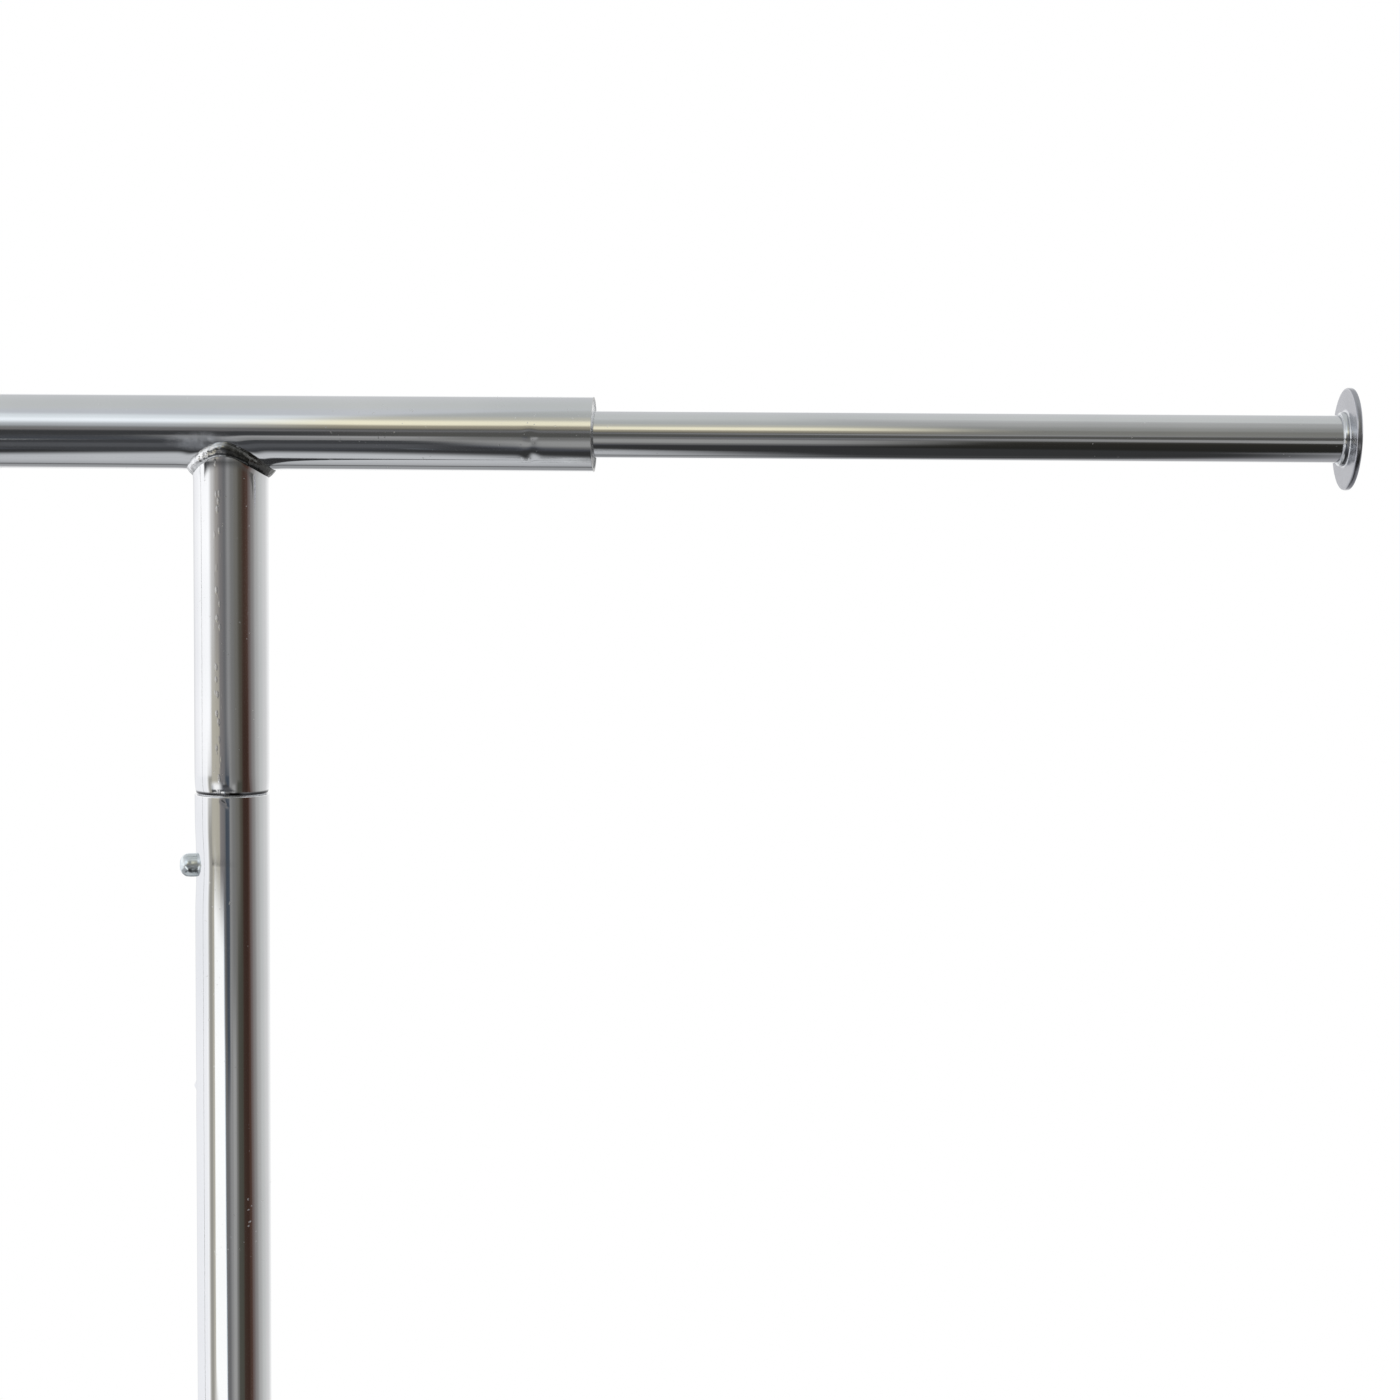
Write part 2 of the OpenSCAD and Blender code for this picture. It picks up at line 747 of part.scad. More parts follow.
// Thickness of the tyre, and the radius of the hub's rim under it
tyre_t = 10;
rim_r = wheel_r - tyre_t;
module hub(side, end) color("gray") at_caster(side, end) translate([axle_at.x, 0, axle_at.y]) {
    rim_t = 3;
    boss = axle_d / 2 + 5;
    web_t = 5;
    ribs = 6;
    rib_t = 2.4;
    rib_w = tread_w - 7;
    difference() {
        union() {
            difference() {
                bar_y(rim_r, tread_w - 2);
                bar_y(rim_r - rim_t, tread_w);
            }
            bar_y(rim_r - rim_t / 2, web_t);
            bar_y(boss, fork_gap - 2);
            for (i = [0 : ribs - 1]) {
                rotate([0, i * 360 / ribs, 0])
                    translate([boss - 1, -rib_w / 2, -rib_t / 2])
                        cube([rim_r - rim_t - boss + 2, rib_w, rib_t]);
            }
        }
        bar_y(axle_d / 2 + pin_fit, fork_gap);
    }
}

module tyre(side, end) color("dimgray") at_caster(side, end)
translate([axle_at.x, 0, axle_at.y]) rotate([90, 0, 0]) {
    shoulder = 4;
    half = tread_w / 2;
    rotate_extrude() {
        translate([rim_r, -half]) square([tyre_t - shoulder, tread_w]);
        translate([rim_r, -half + shoulder]) square([tyre_t, tread_w - 2 * shoulder]);
        for (z = [-half + shoulder, half - shoulder]) translate([wheel_r - shoulder, z]) circle(shoulder);
    }
}

// A toe brake: pressing the pedal turns its lobe against the tyre's back
module brake(side) color("black") at_caster(side, FRONT) {
    hub_r = brake_pin_r + 1.2;
    lobe_r = 2;
    to_wheel = axle_at - brake_at;
    lobe_reach = norm(to_wheel) - wheel_r - clear - lobe_r;
    lobe_turn = atan2(to_wheel.y, to_wheel.x) - brake_turn;
    arm_turn = 180 - brake_turn + 5;
    arm_l = 36;
    arm_t = 1.3;
    pad_r = 2.6;
    pedal_w = fork_gap - 1.2;
    arm_end = rim(brake_at, arm_l, arm_turn);
    translate([0, pedal_w / 2, 0]) rotate([90, 0, 0]) linear_extrude(pedal_w) {
        translate(brake_at) circle(hub_r);
        link(brake_at, lobe_r, rim(brake_at, lobe_reach, lobe_turn), lobe_r);
        link(brake_at, arm_t, arm_end, arm_t);
        translate(arm_end) circle(pad_r);
        for (i = [1 : 3]) translate(rim(brake_at, arm_l - i * 5, arm_turn)) circle(arm_t + 0.6);
    }
    translate([brake_at.x, 0, brake_at.y]) bar_y(brake_pin_r, 2 * fork_half + 2);
}

hang_rail();
tee_stub(LEFT);  // tee_stub_left
tee_stub(RIGHT);  // tee_stub_right
tee_weld(LEFT);  // tee_weld_left
tee_weld(RIGHT);  // tee_weld_right
top_sleeve(LEFT);  // top_sleeve_left
top_sleeve(RIGHT);  // top_sleeve_right
snap_spring(LEFT);  // snap_spring_left
snap_spring(RIGHT);  // snap_spring_right
snap_button(LEFT);  // snap_button_left
snap_button(RIGHT);  // snap_button_right
rod_bush(LEFT);  // rod_bush_left
rod_bush(RIGHT);  // rod_bush_right
extension_rod(LEFT);  // rod_left
extension_rod(RIGHT);  // rod_right
end_disk(LEFT);  // end_disk_left
end_disk(RIGHT);  // end_disk_right
rod_glide(LEFT);  // rod_glide_left
rod_glide(RIGHT);  // rod_glide_right
post(LEFT);  // post_left
post(RIGHT);  // post_right
stretcher();
stretcher_plugs();
stretcher_bolts();
saddle_washers();
knob_bosses();
clamp_knob(LEFT);  // clamp_knob_left
clamp_knob(RIGHT);  // clamp_knob_right
foot_tube(LEFT);  // foot_tube_left
foot_tube(RIGHT);  // foot_tube_right
foot_stub(LEFT);  // foot_stub_left
foot_stub(RIGHT);  // foot_stub_right
foot_weld(LEFT);  // foot_weld_left
foot_weld(RIGHT);  // foot_weld_right
foot_sleeve(LEFT);  // foot_sleeve_left
foot_sleeve(RIGHT);  // foot_sleeve_right
foot_caps(LEFT);  // foot_caps_left
foot_caps(RIGHT);  // foot_caps_right
caster_stems(LEFT);  // caster_stems_left
caster_stems(RIGHT);  // caster_stems_right
stem_nuts(LEFT);  // stem_nuts_left
stem_nuts(RIGHT);  // stem_nuts_right
fork(LEFT, FRONT, true);  // fork_left_front
fork(LEFT, BACK, false);  // fork_left_back
fork(RIGHT, FRONT, true);  // fork_right_front
fork(RIGHT, BACK, false);  // fork_right_back
axle(LEFT, FRONT);  // axle_left_front
axle(LEFT, BACK);  // axle_left_back
axle(RIGHT, FRONT);  // axle_right_front
axle(RIGHT, BACK);  // axle_right_back
hub(LEFT, FRONT);  // hub_left_front
hub(LEFT, BACK);  // hub_left_back
hub(RIGHT, FRONT);  // hub_right_front
hub(RIGHT, BACK);  // hub_right_back
tyre(LEFT, FRONT);  // tyre_left_front
tyre(LEFT, BACK);  // tyre_left_back
tyre(RIGHT, FRONT);  // tyre_right_front
tyre(RIGHT, BACK);  // tyre_right_back
brake(LEFT);  // brake_left
brake(RIGHT);  // brake_right
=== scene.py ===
"""Looks of the folding clothes rack: fine meshes for the chromed tubes, and materials for every piece."""

import json
import math
from functools import reduce

import bpy
import numpy as np
from mathutils import Matrix, Vector

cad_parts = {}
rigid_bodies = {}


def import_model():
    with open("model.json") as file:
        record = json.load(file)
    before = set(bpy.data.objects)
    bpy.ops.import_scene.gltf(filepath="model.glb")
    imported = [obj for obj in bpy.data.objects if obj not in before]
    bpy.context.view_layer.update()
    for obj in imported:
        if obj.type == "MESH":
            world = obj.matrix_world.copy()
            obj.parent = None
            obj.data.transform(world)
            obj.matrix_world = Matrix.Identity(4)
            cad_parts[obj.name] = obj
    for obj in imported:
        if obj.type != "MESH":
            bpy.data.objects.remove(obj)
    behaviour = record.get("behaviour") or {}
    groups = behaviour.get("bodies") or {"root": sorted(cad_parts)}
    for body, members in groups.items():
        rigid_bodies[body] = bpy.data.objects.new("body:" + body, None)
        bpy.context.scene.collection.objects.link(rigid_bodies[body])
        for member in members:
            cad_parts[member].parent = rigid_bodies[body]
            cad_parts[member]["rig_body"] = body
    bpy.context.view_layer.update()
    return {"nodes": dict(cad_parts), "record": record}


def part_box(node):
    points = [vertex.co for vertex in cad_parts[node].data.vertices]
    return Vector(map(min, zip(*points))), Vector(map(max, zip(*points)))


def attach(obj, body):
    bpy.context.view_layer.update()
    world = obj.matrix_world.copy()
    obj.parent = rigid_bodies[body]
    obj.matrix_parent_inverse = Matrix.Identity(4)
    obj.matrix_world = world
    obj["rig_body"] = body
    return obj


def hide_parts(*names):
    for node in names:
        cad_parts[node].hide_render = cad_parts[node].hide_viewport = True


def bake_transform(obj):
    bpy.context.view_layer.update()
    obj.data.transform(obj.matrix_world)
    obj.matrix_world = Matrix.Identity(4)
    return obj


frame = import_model()
nodes = frame["nodes"]
subparts = {p["node"]: p["material_slot"] for p in frame["record"]["subparts"]}
SIDES = {"left": -1, "right": 1}

# Sizes in metres, the same as the named values in the part's source
TUBE_R = 0.016
WALL = 0.0015
POST_X = 0.608
RAIL_END = 0.765
RAIL_Z = 1.657
STUB_L = 0.156
SEAM = 0.0005
SEAM_Z = RAIL_Z - STUB_L
FOOT_Z = 0.116
FOOT_L = 0.560
FOOT_STUB_L = 0.070
POST_Z = FOOT_Z + FOOT_STUB_L + SEAM
POST_L = SEAM_Z - SEAM - POST_Z
TIP_CUT = 0.007
BEAD_W = 0.006
BEAD_H = 0.0014
BEAD_SUNK = 0.0009
EDGE_R = 0.0004
ROD_R = 0.010
ROD_REACH = 0.318
DISK_R = 0.0215
DISK_T = 0.0025
BUTTON_R = 0.0052
BUTTON_OUT = 0.0065
BUTTON_BELOW = 0.031
BUTTON_Z = SEAM_Z - SEAM - BUTTON_BELOW
BUTTON_TURN = math.radians(12)
PIP_BELOW = 0.097
CRIMP_FROM_END = 0.026
KNOB_Z = POST_Z + 0.045
STRETCHER_Z = POST_Z + 0.122

# Finer sizes that only the meshes here have: edges, a stub's rolled end, and holes in a post
CUT_R = 0.00012
LIP_R = 0.0003
ROLL_DEEP = 0.0009
ROLL_L = 0.0090
HOLE_PLAY = 0.0003
KNOB_HOLE_R = 0.0042
BOLT_HOLE_R = 0.0032
HOLE_TURNS = 64
# The weld ring round a rod and the dish outside a stop disk
RING_W = 0.0009
RING_H = 0.0021
DISH_R = 0.0086
# Dents and swellings that making has left, each with how far it reaches
HOLE_DENT = 0.00045
HOLE_DENT_REACH = 0.0075
PIP_H = 0.00095
PIP_R = 0.0024
PIP_DENT = 0.00016
PIP_DENT_REACH = 0.0052
NICK_DEEP = 0.00009
NICK_L = 0.0017
NICK_W = 0.0006
RAIL_RISE = 0.00016
RAIL_RISE_REACH = 0.0030
STUB_RISE = 0.00014
STUB_RISE_REACH = 0.0013
# A profile that ends on its axis ends in a ring this small
AXIS_R = 0.00001
# Each weld bead has ripples of its own
BEAD_SEEDS = {"tee_right": 11, "tee_left": 23, "foot_right": 37, "foot_left": 51}


# Node materials


class Nodes:
    """A tree of shader nodes, with short calls for those that the surfaces and the studio need."""

    def add(self, kind, **values):
        """A new node. Each value goes to the setting or the input of that name."""
        node = self.tree.nodes.new(kind)
        for key, value in values.items():
            if hasattr(node, key):
                setattr(node, key, value)
            else:
                self.link(value, node.inputs[key.replace("_", " ")])
        return node

    def link(self, value, socket):
        """Feeds an input from another node, or sets it to a number, a vector or a colour."""
        if isinstance(value, bpy.types.NodeSocket):
            self.tree.links.new(value, socket)
        elif socket.type == "RGBA":
            socket.default_value = (*value, 1)
        else:
            socket.default_value = value

    def math(self, how, *values):
        node = self.add("ShaderNodeMath", operation=how)
        for value, socket in zip(values, node.inputs):
            self.link(value, socket)
        return node.outputs[0]

    def times(self, *values):
        return reduce(lambda a, b: self.math("MULTIPLY", a, b), values)

    def plus(self, *values):
        return reduce(lambda a, b: self.math("ADD", a, b), values)

    def minus(self, a, b):
        return self.math("SUBTRACT", a, b)

    def length(self, a, b):
        return self.math("SQRT", self.plus(self.times(a, a), self.times(b, b)))

    def span(self, value, a, b, c=0.0, d=1.0, ease="LINEAR"):
        """Goes from c to d as the value goes from a to b, and stays there."""
        ends = {"From_Min": a, "From_Max": b, "To_Min": c, "To_Max": d}
        node = self.add("ShaderNodeMapRange", interpolation_type=ease, clamp=True, Value=value, **ends)
        return node.outputs["Result"]

    def soft(self, value, a, b):
        """Goes from 0 to 1 as the value goes from a to b, easing in and out."""
        return self.span(value, a, b, ease="SMOOTHSTEP")

    def mix(self, factor, a, b):
        """Turns from colour a to colour b as the factor goes from 0 to 1."""
        node = self.add("ShaderNodeMix", data_type="RGBA", Factor=factor)
        for name, value in (("A", a), ("B", b)):
            self.link(value, next(s for s in node.inputs if s.name == name and s.type == "RGBA"))
        return next(s for s in node.outputs if s.type == "RGBA")

    def between(self, factor, first, second):
        """One shader node turning into another as the factor goes from 0 to 1."""
        node = self.add("ShaderNodeMixShader", Fac=factor)
        for shader, socket in zip((first, second), node.inputs[1:]):
            self.link(shader.outputs[0], socket)
        return node


class Shader(Nodes):
    """One surface's material, whose patterns lie in the object's own space."""

    def __init__(self, name):
        self.mat = bpy.data.materials.new(name)
        self.mat.use_nodes = True
        self.tree = self.mat.node_tree
        self.bsdf = self.tree.nodes["Principled BSDF"]
        self.out = self.tree.nodes["Material Output"]
        self.object = self.add("ShaderNodeTexCoord").outputs["Object"]
        self.x, self.y, self.z = self.add("ShaderNodeSeparateXYZ", Vector=self.object).outputs

    def place(self, scale, turn=(0, 0, 0)):
        return self.add("ShaderNodeMapping", Vector=self.object, Scale=scale, Rotation=turn).outputs["Vector"]

    def noise(self, scale, detail=3.0, rough=0.5, vector=None):
        where = vector or self.object
        node = self.add("ShaderNodeTexNoise", Vector=where, Scale=scale, Detail=detail, Roughness=rough)
        return node.outputs["Fac"]

    def cells(self, scale, vector=None):
        return self.add("ShaderNodeTexVoronoi", Vector=vector or self.object, Scale=scale)

    def dots(self, scale, a, b, vector=None):
        """A dot in each cell, from 0 at distance a from its middle to 1 at distance b."""
        return self.span(self.cells(scale, vector).outputs["Distance"], a, b)

    def bump(self, height, distance, normal=None):
        node = self.add("ShaderNodeBump", Height=height, Distance=distance)
        if normal is not None:
            self.link(normal, node.inputs["Normal"])
        return node.outputs["Normal"]

    def finish(self, colour, rough, normal, **values):
        for name, value in {"Base Color": colour, "Roughness": rough, "Normal": normal, **values}.items():
            self.link(value, self.bsdf.inputs[name])
        return self.mat


def drawn_out(along, factor):
    """Scales for a pattern that is drawn out along one axis."""
    return tuple(factor if axis == along else 1.0 for axis in "XYZ")


def scuff_row(s, at):
    """Short slanted marks in a row down a stub's front, this far along x from its axis."""
    across = s.minus(s.minus(s.math("ABSOLUTE", s.x), POST_X), at)
    row = s.times(s.span(s.math("ABSOLUTE", across), 0.0019, 0.0008), s.span(s.y, -0.006, -0.009))
    stroke = s.dots(560, 0.40, 0.22, s.place((1.0, 1.0, 0.38), (0, -0.35, 0)))
    return s.times(stroke, row, s.span(s.noise(95, 2), 0.30, 0.44))


def weld_haze(s):
    """A dull, faintly blue haze on the rail above each tee, left by the heat of the weld."""
    # The spot is about four times as wide as it is tall
    wide = s.times(s.minus(s.math("ABSOLUTE", s.x), POST_X - 0.009), 0.26)
    tall = s.minus(s.z, RAIL_Z - 0.0047)
    spot = s.span(s.length(wide, tall), 0.0044, 0.0010)
    return s.times(spot, s.span(s.noise(200, 2), 0.36, 0.60, 0.3, 0.85))


def chrome(name, along, wave=1.0, dust=0.58, seam_shade=None, rail=False, scuffs=None):
    """Bright plate on a drawn tube: faint draw lines along it, slow waves, dust specks and short scratches.

    The pair of heights for the seam gives a painted shade: the plate is dark below the first, fading out by
    the second.
    The rail has a weld haze above each tee, and grey cut faces at its ends.
    Scuffs is how far along x from a stub's axis a row of scuffs runs down its front."""
    s = Shader(name)
    lines = s.noise(900, 2, 0.6, s.place(drawn_out(along, 0.012)))
    waves = s.noise(34, 1.5, 0.4, s.place(drawn_out(along, 0.3)))
    cloud = s.noise(11)
    speck = s.times(s.dots(300, 0.10, 0.045), s.span(s.noise(37, 1), dust, dust + 0.08))
    hair = s.noise(620, 1, 0.5, s.place((1.0, 0.06, 1.0), (0.5, 0.35, 0.7)))
    hair = s.times(s.span(hair, 0.735, 0.76), s.span(s.noise(23, 1), 0.5, 0.6))
    marks = s.math("MAXIMUM", speck, hair)
    metal = 1.0
    if scuffs:
        scuff = scuff_row(s, scuffs)
        marks = s.math("MAXIMUM", marks, s.times(scuff, 0.75))
    colour = s.mix(s.span(cloud, 0.38, 0.68), (0.90, 0.905, 0.915), (0.84, 0.85, 0.865))
    colour = s.mix(marks, colour, (0.88, 0.88, 0.89))
    # Painted shade in the seam: dark on the lowest millimetre of the plate, fading out just above
    if seam_shade:
        colour = s.mix(s.span(s.z, *seam_shade), (0.07, 0.07, 0.075), colour)
    rough = s.plus(s.span(lines, 0.3, 0.7, 0.04, 0.075), s.span(cloud, 0.45, 0.75, 0.0, 0.035))
    rough = s.plus(rough, s.times(marks, 0.3))
    if rail:
        haze = weld_haze(s)
        face = s.span(s.math("ABSOLUTE", s.x), RAIL_END - CUT_R / 2, RAIL_END - CUT_R / 6)
        colour = s.mix(haze, colour, (0.86, 0.90, 0.96))
        colour = s.mix(face, colour, (0.50, 0.50, 0.49))
        rough = s.plus(rough, s.times(haze, 0.26), s.times(face, 0.3))
        metal = s.minus(1.0, s.times(haze, 0.20))
    normal = s.bump(waves, 0.00016 * wave)
    normal = s.bump(lines, 0.0000016, normal)
    normal = s.bump(marks, -0.00001, normal)
    if scuffs:
        normal = s.bump(scuff, 0.00006, normal)
    return s.finish(colour, rough, normal, Metallic=metal)


def plated_weld(name):
    """Chrome over a hand-laid weld: satin and lumpy, with dark patches, a painted sheen on the inner side and
    a painted shade on the outer one.
    """
    s = Shader(name)
    grit = s.noise(900, 2)
    lumps = s.noise(330, 2)
    x = s.math("ABSOLUTE", s.x)
    # Painted shade darkens the outer flank, away from the rack's middle, over random dark patches; a painted
    # sheen makes patches of the inner flank less metallic, so that they read pale
    outer_shade = s.span(x, POST_X - 0.003, POST_X + 0.006)
    dark = s.math("MINIMUM", s.plus(s.span(s.noise(120, 2), 0.44, 0.64, 0.0, 0.6), outer_shade), 1.0)
    pale = s.times(s.span(x, POST_X - 0.003, POST_X - 0.010), s.span(lumps, 0.62, 0.42))
    colour = s.mix(dark, (0.93, 0.935, 0.94), (0.115, 0.115, 0.11))
    rough = s.plus(s.span(grit, 0.3, 0.7, 0.06, 0.14), s.times(dark, 0.14))
    normal = s.bump(grit, 0.00003, s.bump(lumps, 0.00042))
    return s.finish(colour, rough, normal, Metallic=s.minus(1.0, s.times(pale, 0.55)))


def brushed_disk(name):
    """Chrome on a stamped plate, satin from its pressing and brighter over the weld ring round the rod."""
    s = Shader(name)
    grain = s.noise(700, 3, 0.6, s.place((0.02, 1.0, 1.0)))
    cloud = s.noise(60)
    nick = s.times(s.dots(260, 0.07, 0.03), s.span(cloud, 0.52, 0.6))
    from_rod = s.length(s.y, s.minus(s.z, RAIL_Z))
    ring = s.span(from_rod, ROD_R + 0.0026, ROD_R + 0.0014)
    plate = s.mix(s.span(cloud, 0.3, 0.7), (0.52, 0.525, 0.565), (0.46, 0.465, 0.50))
    colour = s.mix(ring, plate, (0.76, 0.78, 0.80))
    rough = s.plus(s.span(grain, 0.3, 0.7, 0.18, 0.27), s.times(nick, 0.3))
    rough = s.minus(rough, s.times(ring, 0.09))
    normal = s.bump(cloud, 0.00003, s.bump(grain, 0.000003))
    return s.finish(colour, rough, normal, Metallic=1.0)


def zinc(name, base=(0.70, 0.72, 0.74), dark=(0.50, 0.52, 0.55), rough=0.24):
    """Bright zinc on pressed steel: small crystal patches, tool marks and dull smears."""
    s = Shader(name)
    crystal = s.add("ShaderNodeSeparateColor", Color=s.cells(420).outputs["Color"]).outputs["Red"]
    smear = s.noise(45, 4, 0.6)
    marks = s.noise(900, 2, 0.5, s.place((1.0, 1.0, 0.08), (0.3, 0.1, 0.0)))
    colour = s.mix(s.plus(s.times(crystal, 0.35), s.span(smear, 0.35, 0.7, 0.0, 0.65)), base, dark)
    level = s.span(marks, 0.3, 0.7, rough * 0.8, rough * 1.3)
    level = s.plus(level, s.span(smear, 0.4, 0.7, 0.0, 0.14))
    normal = s.bump(smear, 0.00008, s.bump(marks, 0.000008))
    return s.finish(colour, level, normal, Metallic=1.0)


def moulded(name, base, worn, rough, grain=0.00003, shaded_below=None):
    """Moulded plastic: a fine spark-eroded grain, slight sink marks, and pale rubbed patches.

    The last argument, a pair of heights, gives a painted shade: the colour is dark below the first, fading
    out by the second."""
    s = Shader(name)
    spark = s.noise(1500, 2, 0.7)
    sink = s.noise(55, 2)
    rubbed = s.times(s.span(s.noise(210, 5, 0.7), 0.56, 0.72), s.span(sink, 0.42, 0.66))
    colour = s.mix(rubbed, base, worn)
    if shaded_below:
        # Painted shade: the colour darkens below the given heights
        colour = s.mix(s.span(s.z, *shaded_below), (0.16, 0.16, 0.155), colour)
    level = s.plus(s.span(spark, 0.3, 0.7, rough * 0.86, rough * 1.18), s.times(rubbed, 0.12))
    return s.finish(colour, level, s.bump(sink, 0.00012, s.bump(spark, grain)))


def rubber(name):
    """Grey non-marking rubber: matt, with a fine tooth and dust pressed into it."""
    s = Shader(name)
    tooth = s.noise(1100, 3, 0.65)
    dust = s.noise(75, 5, 0.7)
    bits = s.times(s.dots(520, 0.16, 0.06), s.span(dust, 0.5, 0.6))
    colour = s.mix(s.span(dust, 0.36, 0.74), (0.115, 0.117, 0.125), (0.20, 0.195, 0.19))
    colour = s.mix(bits, colour, (0.42, 0.40, 0.37))
    normal = s.bump(dust, 0.0001, s.bump(tooth, 0.00006))
    return s.finish(colour, s.span(tooth, 0.3, 0.7, 0.62, 0.86), normal)


# Painted shade on the stub's chrome, just over the seam where it meets the post
SEAM_SHADE = (SEAM_Z + 0.0009, SEAM_Z + 0.0016)
# Painted shade on the white bush in the rail's mouth, darker below the rail's axis
BUSH_SHADE = (RAIL_Z + 0.001, RAIL_Z + 0.007)
MATERIALS = {
    "chrome": chrome("chrome_along_z", "Z", wave=1.3, dust=0.63),
    "chrome_x": chrome("chrome_along_x", "X"),
    "chrome_y": chrome("chrome_along_y", "Y"),
    "chrome_rail": chrome("chrome_rail", "X", rail=True),
    "chrome_stub": chrome("chrome_stub", "Z", wave=1.3, dust=0.47, seam_shade=SEAM_SHADE, scuffs=-0.002),
    "chrome_disk": brushed_disk("chrome_disk"),
    "weld": plated_weld("plated_weld"),
    "zinc": zinc("zinc_plate"),
    "button": zinc("zinc_button", (0.90, 0.95, 0.97), (0.66, 0.73, 0.76), 0.15),
    "spring_steel": zinc("spring_steel", (0.34, 0.35, 0.38), (0.20, 0.21, 0.23), 0.3),
    "nylon": moulded("black_nylon", (0.045, 0.045, 0.048), (0.10, 0.10, 0.10), 0.42),
    "bush_nylon": moulded("white_nylon", (0.84, 0.84, 0.82), (0.90, 0.90, 0.89), 0.36, shaded_below=BUSH_SHADE),
    "cap_plastic": moulded("cap_plastic", (0.028, 0.028, 0.030), (0.075, 0.075, 0.075), 0.50),
    "knob_plastic": moulded("knob_plastic", (0.022, 0.022, 0.024), (0.08, 0.08, 0.08), 0.38, 0.00002),
    "brake_plastic": moulded("brake_plastic", (0.035, 0.035, 0.037), (0.10, 0.10, 0.10), 0.44),
    "hub_plastic": moulded("hub_plastic", (0.27, 0.28, 0.295), (0.40, 0.40, 0.40), 0.40),
    "tyre_rubber": rubber("tyre_rubber"),
}
# Nodes whose material isn't simply their slot's, by slot and by how the name begins
SPECIAL = {
    ("chrome", "hang_rail"): "chrome_rail",
    ("chrome", "rod"): "chrome_x",
    ("chrome", "stretcher"): "chrome_x",
    ("chrome", "foot_tube"): "chrome_y",
    ("chrome", "tee_stub"): "chrome_stub",
    ("zinc", "snap_button"): "button",
    ("nylon", "rod_bush"): "bush_nylon",
}


def material_of(node):
    slot = subparts[node]
    special = [name for (of, start), name in SPECIAL.items() if of == slot and node.startswith(start)]
    return MATERIALS[special[0] if special else slot]


for name, node in nodes.items():
    for slot in node.material_slots:
        slot.material = material_of(name)


# Mesh pieces


def add_object(name, data):
    piece = bpy.data.objects.new(name, data)
    bpy.context.scene.collection.objects.link(piece)
    return piece


def smooth_step(x):
    x = np.clip(x, 0.0, 1.0)
    return x * x * (3 - 2 * x)


def grid_faces(rings, turns, closed=True):
    """Faces of a grid of points, closed round each ring and, if asked, from the last ring to the first."""
    faces = []
    for ring in range(rings if closed else rings - 1):
        low, high = ring * turns, (ring + 1) % rings * turns
        for here in range(turns):
            there = (here + 1) % turns
            faces.append((low + here, low + there, high + there, high + here))
    return faces


def closed_mesh(name, points, faces):
    """A mesh of a solid, its faces turned outwards: then its signed volume is above 0."""
    mesh = bpy.data.meshes.new(name)
    mesh.from_pydata(points.reshape(-1, 3).tolist(), [], faces)
    mesh.calc_loop_triangles()
    corners = np.array([mesh.vertices[v].co for face in mesh.loop_triangles for v in face.vertices])
    a, b, c = corners.reshape(-1, 3, 3).transpose(1, 0, 2)
    if np.sum(a * np.cross(b, c)) < 0:
        mesh.flip_normals()
    return mesh


def shade(mesh, sharp):
    """Smooth shading, but for edges that turn by more than so many degrees."""
    mesh.shade_smooth()
    mesh.set_sharp_from_angle(angle=math.radians(sharp))


def loft(name, node, points, sharp=35.0):
    """A closed mesh from a grid of points, rings by turns, that stands for one CAD node."""
    mesh = closed_mesh(name, points, grid_faces(*points.shape[:2]))
    mesh.materials.append(material_of(node))
    shade(mesh, sharp)
    piece = add_object(name, mesh)
    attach(piece, nodes[node]["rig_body"])
    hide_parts(node)
    return piece


def arc(r, z, start, end, steps, wide, tall=None):
    """Points (radius, z) of an arc round a point of a profile, from one turn to another in degrees."""
    tall = wide if tall is None else tall
    turns = np.radians(np.linspace(start, end, steps + 1))
    return [(r + wide * math.cos(t), z + tall * math.sin(t)) for t in turns]


def tube_rows(length, r, wall, low=EDGE_R, high=EDGE_R, stops=()):
    """The closed profile of a tube as (radius, z), with rings at the stops.

    Low and high are the radii of its two outer edges."""
    guard, lip, bore = 0.0003, 0.0001, r - wall
    inner = sorted(s for s in stops if low + 2 * guard < s < length - high - 2 * guard)
    rows = [(bore, 0.0), (bore + lip, 0.0), *arc(r - low, low, -90, 0, 8, low)]
    rows += [(r, z) for z in (low + guard, *inner, length - high - guard)]
    rows += arc(r - high, length - high, 0, 90, 8, high)
    rows += [(bore + lip, length), (bore, length), (bore, length - guard)]
    rows += [(bore, z) for z in reversed(inner[:: max(1, len(inner) // 12)])]
    return np.array([*rows, (bore, guard)])


def even(a, b, step):
    """Places from a to b, about a step apart."""
    return list(np.linspace(a, b, max(2, round((b - a) / step) + 1)))


def in_order(stops):
    """The stops of several stretches in order, without doubles."""
    return sorted({round(s, 5) for s in stops})


def ring_points(rows, turns=144, shape=None):
    """Points of a revolved profile about +Z: shape(angle, z) is how far the surface stands out or in."""
    angle, r = np.meshgrid(np.arange(turns) * 2 * math.pi / turns, rows[:, 0])
    z = np.repeat(rows[:, 1:2], turns, axis=1)
    if shape is not None:
        r = r + shape(angle, z)
    return np.stack([r * np.cos(angle), r * np.sin(angle), z], axis=-1)


def carry(points, matrix):
    m = np.array(matrix)
    return points @ m[:3, :3].T + m[:3, 3]


def along_x(x):
    """Turns +Z to +X at the rail's height: a piece built upwards lies along the rail, its +X turned to -Z."""
    return Matrix.Translation((x, 0, RAIL_Z)) @ Matrix.Rotation(math.pi / 2, 4, "Y")


